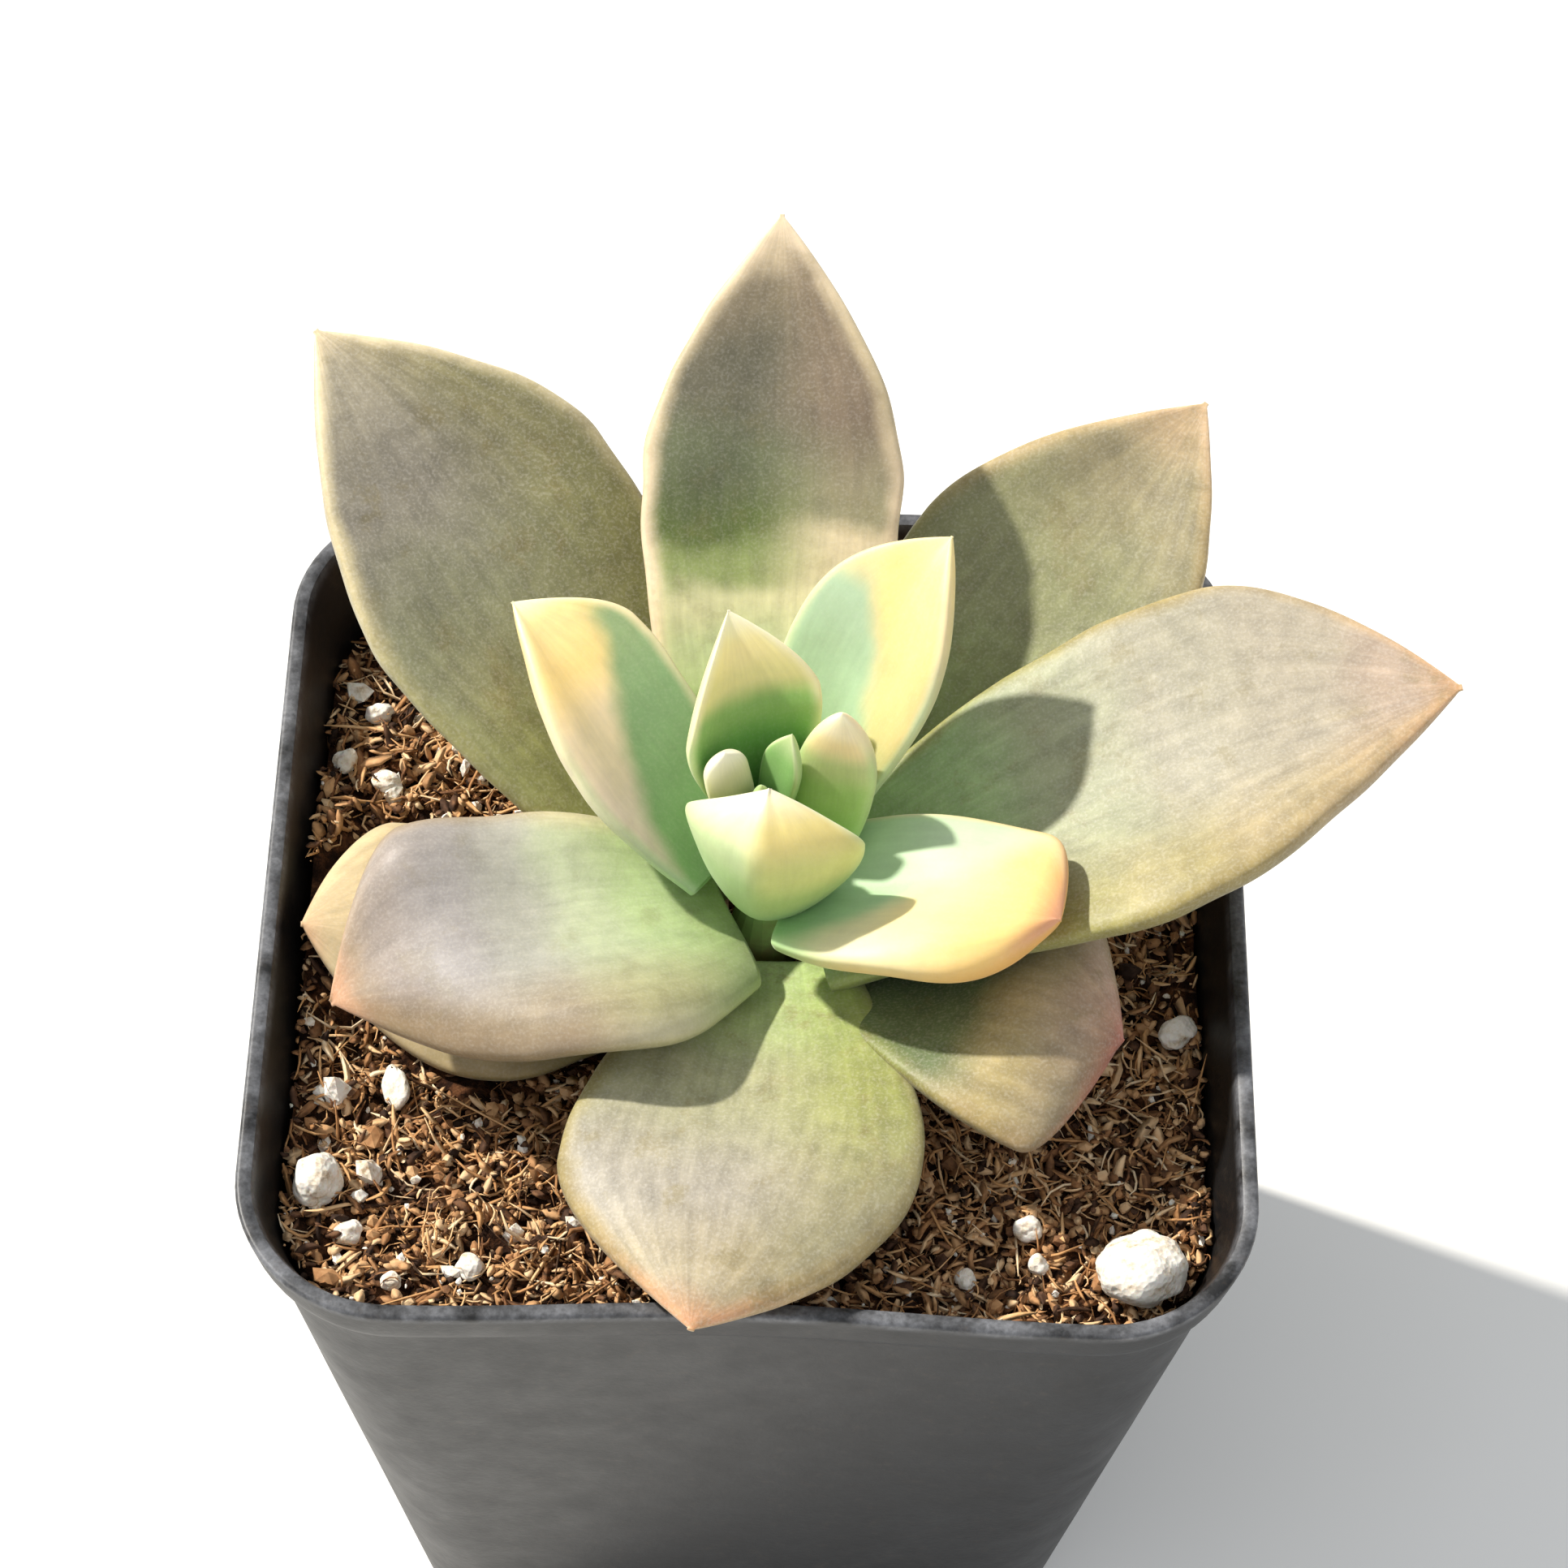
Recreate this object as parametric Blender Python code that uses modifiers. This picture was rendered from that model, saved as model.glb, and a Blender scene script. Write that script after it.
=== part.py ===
"""A potted rosette succulent: a square nursery pot of potting mix with one plant growing in it.

Units are metres, +Z is up, and the origin is the middle of the pot's flat base.
The plant leans over the pot's rim on every side, and its front faces -Y.
"""

import math
from collections import namedtuple

import bmesh
import bpy
import numpy as np

MM = 0.001
GAP = 0.3 * MM                  # clearance between pieces that touch on the real object

# ---- pot, a thin square tub with a rolled lip ----
POT_HEIGHT = 62.0 * MM
RIM_WIDTH = 64.0 * MM           # over the lip, from side to side
LIP_WIDTH = 1.1 * MM            # how far the lip's flat top spans
LIP_ROUND = 0.35 * MM           # rounding of the lip's two edges
BAND_HEIGHT = 3.2 * MM          # the stiff band under the lip
BAND_STEP = 0.8 * MM            # how far the band stands out of the wall below it
BASE_WIDTH = 46.0 * MM
WALL = 0.9 * MM
FLOOR = 1.2 * MM
RIM_CORNER = 9.2 * MM           # corner radius at the rim
BASE_CORNER = 6.5 * MM          # corner radius at the base
BASE_EDGE = 0.8 * MM            # rounding where the wall meets the base
FRONT_BOW = 0.8 * MM            # how far the front of the rim has bowed in
DRAIN_RADIUS = 2.6 * MM
DRAIN_OFFSET = 14.0 * MM        # each drain hole's distance from the middle, in X and in Y

# ---- potting mix ----
SOIL_DROP = 5.6 * MM            # level of the mix below the rim
SOIL_LEVEL = POT_HEIGHT - SOIL_DROP
SOIL_RIPPLE = 0.45 * MM         # height of its lumps
LEAF_HOLLOW = 1.4 * MM          # how deep the lowest leaves have pressed into it
EDGE_DROP = 3.2 * MM            # how far the lowest place on its edge is below its level
GRAIN_GAP = 0.9 * MM            # how far a loose grain stands off the mix
MIX_GAP = 0.5 * MM              # how far the mix has shrunk from the wall

# ---- stem ----
STEM_X = 0.5 * MM
STEM_Y = -1.5 * MM
STEM_RADIUS = 2.2 * MM
STEM_NECK = 1.3 * MM            # radius where the inner leaves sit
STEM_TIP = 0.45 * MM
STEM_ROOT = 7.5 * MM            # length of stem below the level of the mix
STEM_TOP = 13.5 * MM            # height of the stem's tip above the level of the mix

# ---- meshes ----
POT_POINTS = 48                 # points round a rounded square, a multiple of four
WAIST = 0.45                    # a level of points part way up the pot, over its height
MIX_SHOULDER = 0.85             # the next level of points down in the mix, over its level
SOIL_RINGS = 9
STEM_SIDES = 16

# One leaf. Heights are above the level of the mix, angles in degrees, and 0 degrees is along +X:
# foot       height of the leaf's foot
# at, reach  where round the stem the foot sits, and how far from the stem's axis
# heading    the way the leaf grows, and sweep, how far that turns by the tip
# rise       its slope at the foot, bend, what the slope gains by the tip, and curl, a
#            further gain over the last stretch
# length, width, thick    sizes in millimetres
# cup, cup_tip            lift of the margins over half the width, in the blade and at the tip
# roll       lifts the margin on the right, seen from the stem
# base       width of the foot over the full width, and fill, how slowly it opens
# widest     where along the leaf it is widest, and lop, how much sooner that comes on the right
# point      2 for a round end, less for a drawn-out one, more for a blunt one
Leaf = namedtuple("Leaf", "name foot at reach heading sweep rise bend curl length width thick "
                          "cup cup_tip roll base fill widest lop point rings sides")

LEAVES = [
    # name, foot, at, reach, heading, sweep, rise, bend, curl, length, width, thick,
    #     cup, cup_tip, roll, base, fill, widest, lop, point, rings, sides
    Leaf("leaf_outer_left_low", 1.25, 180, 3.5, 181, 4, 1, 11, 8, 26.8, 20.3, 3.6,
         0, -0.33, 1, 0.23, 1.7, 0.62, -0.14, 1.7, 12, 12),
    Leaf("leaf_outer_right_low", 1, -17, 3.5, -30, 8, 32, -21, -30, 23.5, 21, 4.2,
         0.16, -0.05, 6, 0.2, 2.1, 0.68, -0.18, 2.6, 14, 12),
    Leaf("leaf_outer_right_back", 2.2, 52, 3.5, 48.5, 0, 20, 6, 0, 43.5, 20, 4.6,
         0.2, 0.2, -8, 0.26, 1.5, 0.6, 0, 1.7, 12, 12),
    Leaf("leaf_outer_left_back", 3.4, 130, 3.5, 134.5, 0, 31, -4, 0, 45.8, 22, 5,
         0.22, 0.2, 0, 0.28, 1.5, 0.6, -0.05, 1.7, 12, 12),
    Leaf("leaf_outer_front", 3.4, -85, 3.5, -90, -16, 19, -19, 0, 29.5, 22.5, 5.2,
         0.15, -0.1, 0, 0.3, 1.5, 0.6, -0.05, 1.7, 12, 12),
    Leaf("leaf_outer_left", 6.9, 207, 3.2, 206, -17, 32, -60, -6, 27, 20, 5,
         0.08, -0.16, 4, 0.38, 1.1, 0.53, -0.2, 1.8, 14, 12),
    Leaf("leaf_outer_right", 4.6, -2, 3.5, 16.5, -8, 28, -14, 0, 44.5, 23, 5.4,
         0.22, 0.15, 0, 0.28, 1.5, 0.6, 0.08, 1.7, 12, 12),
    Leaf("leaf_outer_back", 5.9, 97, 3, 89.5, 0, 34.5, 0, 0, 43, 17, 4.8,
         0.22, 0.2, 0, 0.36, 1.5, 0.6, 0, 1.7, 12, 12),
    Leaf("leaf_inner_left", 9.75, 165, 2.9, 139.5, -3, 31, 1, -9, 21.6, 10.8, 3.8,
         0.45, 0.35, 1, 0.47, 1.1, 0.58, -0.17, 1.7, 11, 12),
    Leaf("leaf_inner_right_back", 11.1, 56, 3.1, 62, -19, 38, 12, 0, 22, 11.4, 3.6,
         0.35, 0.36, 3, 0.28, 1.15, 0.56, 0.03, 2.2, 11, 12),
    Leaf("leaf_inner_right", 10.02, -45, 2.9, -13, -9, 21.5, 0, -5, 18.4, 12.8, 4.3,
         0.3, 0, 0, 0.52, 0.9, 0.63, 0.17, 3, 11, 12),
    Leaf("leaf_crown_back", 13.3, 110, 2.2, 105, 2, 60, 3, -12, 14.6, 9.5, 2.7,
         0.48, 0.5, -9, 0.24, 1.7, 0.55, -0.08, 1.4, 10, 12),
    Leaf("leaf_crown_front", 12.1, -90, 3.3, -95, 0, 68, 60, 0, 10.8, 11.6, 3,
         0.5, 0.3, 10, 0.5, 1, 0.6, 0, 1.7, 10, 12),
    Leaf("leaf_crown_right", 13.3, -4, 3.5, 73, 0, 50, 44, 0, 11.2, 5.4, 2.9,
         0.05, 0, 0, 0.5, 1, 0.5, 0, 1.8, 10, 10),
    Leaf("leaf_heart_left", 14.6, 186, 1.6, 125, 0, 66, 15, 0, 7, 3.2, 1.4,
         0, 0, 0, 0.5, 1, 0.7, 0, 3.4, 8, 8),
    Leaf("leaf_heart_back", 14.8, 80, 1.2, 45, 0, 74, 6, 0, 7.6, 3, 1.4,
         0.2, 0.2, 0, 0.5, 1.5, 0.6, 0, 1.7, 8, 8),
    Leaf("leaf_heart_front", 14.9, -50, 1, -40, 0, 84, 10, 0, 5.2, 2, 1,
         0.2, 0.2, 0, 0.5, 1.5, 0.6, 0, 1.7, 8, 8),
    Leaf("leaf_heart_middle", 15.5, 180, 0.3, 140, 0, 84, 10, 0, 4.4, 1.6, 0.9,
         0.2, 0.2, 0, 0.5, 1.5, 0.6, 0, 1.7, 8, 8),
]

UPPER_SHARE = 0.36              # share of a leaf's thickness above its midline
MARGIN_POWER = 1.8              # how late across the leaf the cup begins to lift
THIN_POWER = 0.75               # how slowly the leaf thins as it narrows
BLUNT = 0.03                    # half width left at the very tip, over the full half width

# One large grain of perlite: its place, its three half sizes and its turn, in millimetres
# and degrees.
Grain = namedtuple("Grain", "name x y across along high turn")

GRAINS = [
    Grain("perlite_front_right_corner", 24.6, -25.6, 3.0, 2.8, 2.1, 15),
    Grain("perlite_front_right_upper", 17.7, -21.8, 1.0, 0.8, 0.8, 0),
    Grain("perlite_front_right_lower", 18.4, -24.4, 0.7, 0.7, 0.6, 40),
    Grain("perlite_front_middle", 13.8, -25.6, 0.7, 1.0, 0.7, 20),
    Grain("perlite_right_side", 27.7, -6.8, 1.3, 1.2, 1.0, 30),
    Grain("perlite_front_left_corner", -27.2, -20.2, 1.6, 2.0, 1.5, -10),
    Grain("perlite_front_left_inner", -25.2, -23.4, 1.0, 0.8, 0.8, 25),
    Grain("perlite_left_long", -22.9, -12.6, 0.9, 1.7, 0.9, 12),
    Grain("perlite_front_left_grey", -17.4, -25.6, 1.0, 1.0, 0.8, 0),
    Grain("perlite_front_left_small", -22.2, -27.0, 0.7, 0.6, 0.6, 0),
    Grain("perlite_back_left_near", -28.0, 12.6, 0.9, 0.9, 0.8, 35),
    Grain("perlite_back_left_inner", -25.2, 11.6, 1.0, 0.8, 0.7, -20),
    Grain("perlite_back_left_far", -26.0, 17.4, 1.0, 0.8, 0.8, 10),
]


# ---- small helpers ----

def clear_scene():
    """Remove every object that the scene starts with."""
    for obj in list(bpy.data.objects):
        bpy.data.objects.remove(obj, do_unlink=True)


def make_collection(name):
    """Add a collection to the scene."""
    collection = bpy.data.collections.new(name)
    bpy.context.scene.collection.children.link(collection)
    return collection


def make_material(name, colour, roughness, metallic=0.0):
    """A plain Principled material."""
    material = bpy.data.materials.new(name)
    material.use_nodes = True
    shader = material.node_tree.nodes["Principled BSDF"]
    shader.inputs["Base Color"].default_value = (*colour, 1.0)
    shader.inputs["Roughness"].default_value = roughness
    shader.inputs["Metallic"].default_value = metallic
    material.diffuse_color = (*colour, 1.0)
    return material


def add_object(name, mesh, material, collection):
    """Put a mesh in the scene as one named piece."""
    mesh.name = name
    mesh.materials.clear()
    mesh.materials.append(material)
    mesh.shade_smooth()
    mesh.set_sharp_from_angle(angle=math.radians(40.0))
    obj = bpy.data.objects.new(name, mesh)
    collection.objects.link(obj)
    return obj


def loft(rings):
    """A closed solid through rings of points, with a fan over each end.

    rings has the shape (rings, points, 3). Seen from outside, each ring runs anticlockwise
    about the way the loft goes.
    """
    rings = np.asarray(rings, dtype=float)
    count, sides = rings.shape[:2]
    start = rings[0].mean(axis=0)
    end = rings[-1].mean(axis=0)
    points = np.vstack([rings.reshape(-1, 3), start, end])
    row, column = np.meshgrid(np.arange(count - 1), np.arange(sides), indexing="ij")
    here = row * sides + column
    beside = row * sides + (column + 1) % sides
    walls = np.stack([here, beside, beside + sides, here + sides], axis=-1).reshape(-1, 4)
    around = np.arange(sides)
    after = (around + 1) % sides
    first = np.full(sides, count * sides)
    last = first + 1
    top = (count - 1) * sides
    start_fan = np.stack([first, after, around], axis=-1)
    end_fan = np.stack([last, top + around, top + after], axis=-1)
    faces = walls.tolist() + start_fan.tolist() + end_fan.tolist()
    mesh = bpy.data.meshes.new("loft")
    mesh.from_pydata(points.tolist(), [], faces)
    mesh.validate()
    mesh.update()
    return mesh


def blend(start, end, share):
    """Straight blend from one value to another."""
    return start + (end - start) * share


# ---- pot ----

def rounded_square(width, corner, bow=0.0):
    """Points round a square with round corners, anticlockwise from above, as (points, 2).

    Each quarter is an arc of the corner, then a straight run to the next corner. The front
    side, at -Y, bows in by bow at its middle.
    """
    arc_points = POT_POINTS // 4 - 4
    half = width / 2
    points = []
    for quarter in range(4):
        turn = quarter * math.pi / 2
        for step in range(arc_points):
            angle = blend(0.0, math.pi / 2, step / (arc_points - 1))
            x = half - corner + corner * math.cos(angle)
            y = half - corner + corner * math.sin(angle)
            points.append((x * math.cos(turn) - y * math.sin(turn),
                           x * math.sin(turn) + y * math.cos(turn)))
        for step in range(1, 5):
            x = blend(half - corner, corner - half, step / 5)
            y = half
            points.append((x * math.cos(turn) - y * math.sin(turn),
                           x * math.sin(turn) + y * math.cos(turn)))
    points = np.array(points)
    along = np.clip(np.abs(points[:, 0]) / (half - corner), 0.0, 1.0)
    front = points[:, 1] < corner - half
    points[:, 1] += np.where(front, bow * np.cos(along * math.pi / 2) ** 2, 0.0)
    return points


def pot_width(height):
    """Outer width of the pot's wall below the band, at a height."""
    top = RIM_WIDTH - 2 * BAND_STEP
    return blend(BASE_WIDTH, top, height / POT_HEIGHT)


def pot_corner(height):
    """Outer corner radius of the pot's wall at a height."""
    return blend(BASE_CORNER, RIM_CORNER, height / POT_HEIGHT)


def pot_bow(height):
    """How far the front has bowed in at a height: all at the rim, none at the base."""
    return FRONT_BOW * (height / POT_HEIGHT) ** 2


def pot_ring(height, inset=0.0, width=None):
    """One ring of the pot at a height, set in from the outer wall or from a given width."""
    outer = pot_width(height) if width is None else width
    corner = max(pot_corner(height) - inset, MM)
    outline = rounded_square(outer - 2 * inset, corner, pot_bow(height))
    return np.column_stack([outline, np.full(len(outline), height)])


def make_pot(material, collection, cutters):
    """The tub: up the outside, over the lip, down the inside, with four drain holes."""
    band = POT_HEIGHT - BAND_HEIGHT
    rings = [
        pot_ring(0.0, inset=BASE_EDGE),
        pot_ring(BASE_EDGE),
        pot_ring(POT_HEIGHT * WAIST),
        pot_ring(band - BAND_STEP),
        pot_ring(band, width=RIM_WIDTH),
        pot_ring(POT_HEIGHT - LIP_ROUND, width=RIM_WIDTH),
        pot_ring(POT_HEIGHT, inset=LIP_ROUND, width=RIM_WIDTH),
        pot_ring(POT_HEIGHT, inset=LIP_WIDTH - LIP_ROUND, width=RIM_WIDTH),
        pot_ring(POT_HEIGHT - LIP_ROUND, inset=LIP_WIDTH, width=RIM_WIDTH),
        pot_ring(band - BAND_STEP, inset=WALL),
        pot_ring(POT_HEIGHT * WAIST, inset=WALL),
        pot_ring(FLOOR, inset=WALL),
    ]
    pot = add_object("pot", loft(rings), material, collection)
    for number, (side, end) in enumerate([(-1, -1), (1, -1), (1, 1), (-1, 1)]):
        bpy.ops.mesh.primitive_cylinder_add(
            vertices=16, radius=DRAIN_RADIUS, depth=4 * FLOOR,
            location=(side * DRAIN_OFFSET, end * DRAIN_OFFSET, FLOOR / 2))
        cutter = bpy.context.object
        cutter.name = f"drain_cutter_{number}"
        cutter.hide_render = True
        cutter.display_type = "WIRE"
        for home in list(cutter.users_collection):
            home.objects.unlink(cutter)
        cutters.objects.link(cutter)
        cut = pot.modifiers.new(f"drain_{number}", "BOOLEAN")
        cut.operation = "DIFFERENCE"
        cut.object = cutter
    return pot


# ---- potting mix ----

def bump(x, y, centre_x, centre_y, spread):
    """A smooth round bump of height 1."""
    return np.exp(-((x - centre_x) ** 2 + (y - centre_y) ** 2) / spread ** 2)


def soil_height(x, y):
    """Height of the mix: level, with lumps, hollows under the low leaves, and banked sides.

    x and y are in metres, and so is the result.
    """
    u = np.asarray(x) / MM
    v = np.asarray(y) / MM
    lumps = (np.sin(0.83 * u + 0.4) * np.cos(0.71 * v - 0.9)
             + 0.6 * np.sin(1.9 * u - 1.3 * v + 2.0)
             + 0.5 * np.cos(1.4 * u + 2.1 * v))
    hollows = (bump(u, v, -19.0, -2.0, 11.0)
               + bump(u, v, 20.0, -10.0, 8.0)
               + 0.5 * bump(u, v, 0.5, -1.5, 6.0))
    banks = (1.4 * bump(u, v, -30.0, 3.0, 5.0)
             - 2.6 * bump(u, v, -29.0, 30.0, 11.0)
             - 0.8 * bump(u, v, 29.0, 8.0, 10.0))
    return SOIL_LEVEL + SOIL_RIPPLE * lumps / 1.4 - LEAF_HOLLOW * hollows + MM * banks


def stem_circle(radius, height):
    """A ring of POT_POINTS points about the stem's axis."""
    angle = np.arange(POT_POINTS) * 2 * math.pi / POT_POINTS
    x = STEM_X + radius * np.cos(angle)
    y = STEM_Y + radius * np.sin(angle)
    return np.column_stack([x, y, np.broadcast_to(height, x.shape)])


def make_soil(material, collection):
    """The block of mix: a socket for the stem, an uneven top, and sides that fit the pot."""
    fit = WALL + MIX_GAP
    socket = STEM_RADIUS + GAP
    socket_floor = SOIL_LEVEL - STEM_ROOT - GAP
    edge = pot_ring(SOIL_LEVEL - EDGE_DROP, inset=fit)
    inner = stem_circle(socket, SOIL_LEVEL)
    top = []
    for step in range(SOIL_RINGS + 1):
        ring = blend(inner, edge, step / SOIL_RINGS)
        ring[:, 2] = soil_height(ring[:, 0], ring[:, 1])
        top.append(ring)
    floor = FLOOR + GAP
    rings = [stem_circle(socket, socket_floor)] + top
    sides = (SOIL_LEVEL * MIX_SHOULDER, POT_HEIGHT * WAIST, floor)
    rings += [pot_ring(height, inset=fit) for height in sides]
    return add_object("potting_mix", loft(rings[::-1]), material, collection)


# ---- stem ----

def make_stem(material, collection):
    """The stem: a turned profile, thick in the mix and tapering up through the leaves."""
    foot = SOIL_LEVEL - STEM_ROOT
    top = SOIL_LEVEL + STEM_TOP
    profile = [
        (0.0, top),
        (STEM_TIP, top - 0.3 * MM),
        (STEM_NECK * 0.8, top - 2.9 * MM),
        (STEM_NECK, top - 6.0 * MM),
        (STEM_RADIUS * 0.94, SOIL_LEVEL + 4.7 * MM),
        (STEM_RADIUS, SOIL_LEVEL + 1.6 * MM),
        (STEM_RADIUS, foot + 1.2 * MM),
        (STEM_RADIUS * 0.6, foot),
        (0.0, foot),
    ]
    mesh = bpy.data.meshes.new("profile")
    points = [(radius, 0.0, height) for radius, height in profile]
    edges = [(index, index + 1) for index in range(len(points) - 1)]
    mesh.from_pydata(points, edges, [])
    stem = bpy.data.objects.new("stem", mesh)
    collection.objects.link(stem)
    stem.location = (STEM_X, STEM_Y, 0.0)
    mesh.materials.append(material)
    turn = stem.modifiers.new("turn", "SCREW")
    turn.steps = STEM_SIDES
    turn.render_steps = STEM_SIDES
    turn.use_merge_vertices = True
    turn.merge_threshold = 0.00001
    turn.use_smooth_shade = True
    return stem


# ---- leaves ----

def leaf_direction(leaf, t):
    """Unit direction in which the leaf's midline grows at t, 0 at the foot and 1 at the tip."""
    late = np.clip((t - 0.6) / 0.4, 0.0, 1.0)
    slope = np.radians(leaf.rise + leaf.bend * t + leaf.curl * late ** 2)
    turn = np.radians(leaf.heading + leaf.sweep * t)
    flat = np.cos(slope)
    return np.stack([flat * np.cos(turn), flat * np.sin(turn), np.sin(slope)], axis=-1)


def leaf_midline(leaf, t):
    """Points of the midline: the direction added up along the leaf's length, by midpoints."""
    steps = 200
    middles = (np.arange(steps) + 0.5) / steps
    path = np.vstack([np.zeros(3), np.cumsum(leaf_direction(leaf, middles), axis=0) / steps])
    ends = np.linspace(0.0, 1.0, steps + 1)
    curve = np.stack([np.interp(t, ends, path[:, axis]) for axis in range(3)], axis=-1)
    at = math.radians(leaf.at)
    foot = np.array([STEM_X + leaf.reach * MM * math.cos(at),
                     STEM_Y + leaf.reach * MM * math.sin(at),
                     SOIL_LEVEL + leaf.foot * MM])
    return foot + curve * leaf.length * MM


def leaf_frame(leaf, t):
    """The way to the leaf's right margin and the way out of its upper face, at each t."""
    along = leaf_direction(leaf, t)
    turn = np.radians(leaf.heading + leaf.sweep * t)
    side = np.stack([np.sin(turn), -np.cos(turn), np.zeros_like(turn)], axis=-1)
    up = np.cross(side, along)
    roll = math.radians(leaf.roll)
    return (side * math.cos(roll) + up * math.sin(roll),
            up * math.cos(roll) - side * math.sin(roll))


def half_width(leaf, t, widest):
    """Half the leaf's width: a quarter sine up to the widest place, then 1 - s ** point."""
    opening = np.sin(math.pi / 2 * np.clip(t / widest, 0.0, 1.0)) ** leaf.fill
    opening = leaf.base + (1.0 - leaf.base) * opening
    ending = 1.0 - np.clip((t - widest) / (1.0 - widest), 0.0, 1.0) ** leaf.point
    return leaf.width / 2 * MM * np.where(t < widest, opening, np.maximum(ending, BLUNT))


def leaf_rings(leaf):
    """Rings of points round the leaf, one for each station from the foot to the tip.

    Across the leaf each ring is a flattened oval, deeper below than above, with its margins
    lifted by the cup. The stations close up towards the tip.
    """
    t = 1.0 - (1.0 - np.linspace(0.0, 1.0, leaf.rings)) ** 1.15
    round_the_leaf = np.arange(leaf.sides) * 2 * math.pi / leaf.sides
    cosine = np.cos(round_the_leaf)
    sine = np.sin(round_the_leaf)
    across = np.sign(cosine) * np.abs(cosine) ** 0.85
    share = np.where(sine > 0, UPPER_SHARE, 1 - UPPER_SHARE)
    depth = share * np.sign(sine) * np.abs(sine) ** 0.9
    mean_half = half_width(leaf, t, leaf.widest)
    right = half_width(leaf, t, leaf.widest - leaf.lop)
    left = half_width(leaf, t, leaf.widest + leaf.lop)
    thin = np.minimum(1.0, mean_half / (leaf.width / 2 * MM)) ** THIN_POWER
    late = np.clip((t - 0.3) / 0.6, 0.0, 1.0)
    cup = blend(leaf.cup, leaf.cup_tip, late * late * (3 - 2 * late))
    sideways = np.where(across > 0, right[:, None], left[:, None]) * across
    lift = (leaf.thick * MM * thin)[:, None] * depth
    lift = lift + (cup * mean_half)[:, None] * np.abs(across) ** MARGIN_POWER
    side, up = leaf_frame(leaf, t)
    middle = leaf_midline(leaf, t)
    return (middle[:, None] + sideways[..., None] * side[:, None]
            + lift[..., None] * up[:, None])


def make_leaf(leaf, material, collection):
    """One leaf, a loft because every station across it has a different outline."""
    return add_object(leaf.name, loft(leaf_rings(leaf)[:, ::-1]), material, collection)


# ---- perlite ----

def make_grain(grain, material, collection):
    """One puffed grain: a sphere pushed in and out, resting on the mix."""
    mesh = bpy.data.meshes.new(grain.name)
    build = bmesh.new()
    bmesh.ops.create_icosphere(build, subdivisions=2, radius=1.0)
    build.to_mesh(mesh)
    build.free()
    flat = np.empty(len(mesh.vertices) * 3)
    mesh.vertices.foreach_get("co", flat)
    ball = flat.reshape(-1, 3)
    dents = (np.sin(2.6 * ball[:, 0] + grain.turn) * np.cos(2.2 * ball[:, 1])
             + np.sin(3.1 * ball[:, 2] + 1.7 * ball[:, 0]))
    ball = ball * (1.0 + 0.07 * dents)[:, None]
    ball = ball * np.array([grain.across, grain.along, grain.high]) * MM
    turn = math.radians(grain.turn)
    x = ball[:, 0] * math.cos(turn) - ball[:, 1] * math.sin(turn) + grain.x * MM
    y = ball[:, 0] * math.sin(turn) + ball[:, 1] * math.cos(turn) + grain.y * MM
    drop = (ball[:, 2] - soil_height(x, y)).min()
    z = ball[:, 2] - drop + GRAIN_GAP
    mesh.vertices.foreach_set("co", np.column_stack([x, y, z]).ravel())
    mesh.update()
    return add_object(grain.name, mesh, material, collection)


# ---- the whole plant ----

def main():
    clear_scene()
    parts = make_collection("potted_succulent")
    cutters = make_collection("cutters")
    black_plastic = make_material("black_plastic", (0.03, 0.03, 0.033), 0.5)
    mix = make_material("coir_and_peat", (0.16, 0.085, 0.045), 0.95)
    bark = make_material("stem_skin", (0.30, 0.30, 0.17), 0.7)
    outer_skin = make_material("outer_leaf_skin", (0.36, 0.36, 0.26), 0.5)
    inner_skin = make_material("inner_leaf_skin", (0.66, 0.70, 0.36), 0.45)
    perlite = make_material("perlite", (0.80, 0.78, 0.73), 0.9)
    make_pot(black_plastic, parts, cutters)
    make_soil(mix, parts)
    make_stem(bark, parts)
    for leaf in LEAVES:
        skin = outer_skin if "outer" in leaf.name else inner_skin
        make_leaf(leaf, skin, parts)
    for grain in GRAINS:
        make_grain(grain, perlite, parts)


main()
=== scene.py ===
# %% [markdown]
# # A potted rosette succulent
# A small grey and cream succulent grows in a square black nursery pot, in a mix of coir,
# peat and perlite. The imported model gives every piece its place and size. This lesson makes
# each piece again as a fine surface and gives it the finish of the real thing.
#
# The imported model is loaded first. Nothing made here may leave it.

# %% Load the frame
import math

import bmesh
import bpy
import numpy as np
from mathutils import Matrix, Vector


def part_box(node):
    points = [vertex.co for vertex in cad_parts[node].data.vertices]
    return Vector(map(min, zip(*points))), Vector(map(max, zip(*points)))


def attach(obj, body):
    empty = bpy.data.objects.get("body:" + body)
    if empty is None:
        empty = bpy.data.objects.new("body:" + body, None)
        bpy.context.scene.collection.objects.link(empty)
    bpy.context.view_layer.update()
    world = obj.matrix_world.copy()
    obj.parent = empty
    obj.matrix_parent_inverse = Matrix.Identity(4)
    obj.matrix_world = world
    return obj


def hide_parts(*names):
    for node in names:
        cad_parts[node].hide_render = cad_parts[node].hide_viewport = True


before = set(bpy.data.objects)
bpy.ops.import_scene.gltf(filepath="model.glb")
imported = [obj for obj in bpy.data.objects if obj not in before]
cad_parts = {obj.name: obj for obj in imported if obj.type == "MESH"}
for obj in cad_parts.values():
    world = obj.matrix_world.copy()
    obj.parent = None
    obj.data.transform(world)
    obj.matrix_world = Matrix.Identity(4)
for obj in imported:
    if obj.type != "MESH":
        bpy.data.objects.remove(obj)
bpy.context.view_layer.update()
MM = 0.001

# %% [markdown]
# ## Camera
# The plant is seen from the front and from 55 degrees above the horizon, from about 30 cm.
# So close, the near rim looks wider than the far one, and only the right distance and lens
# together give that. The camera's axes are worked out from its turn, its height and a small
# tilt of the horizon.

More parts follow.
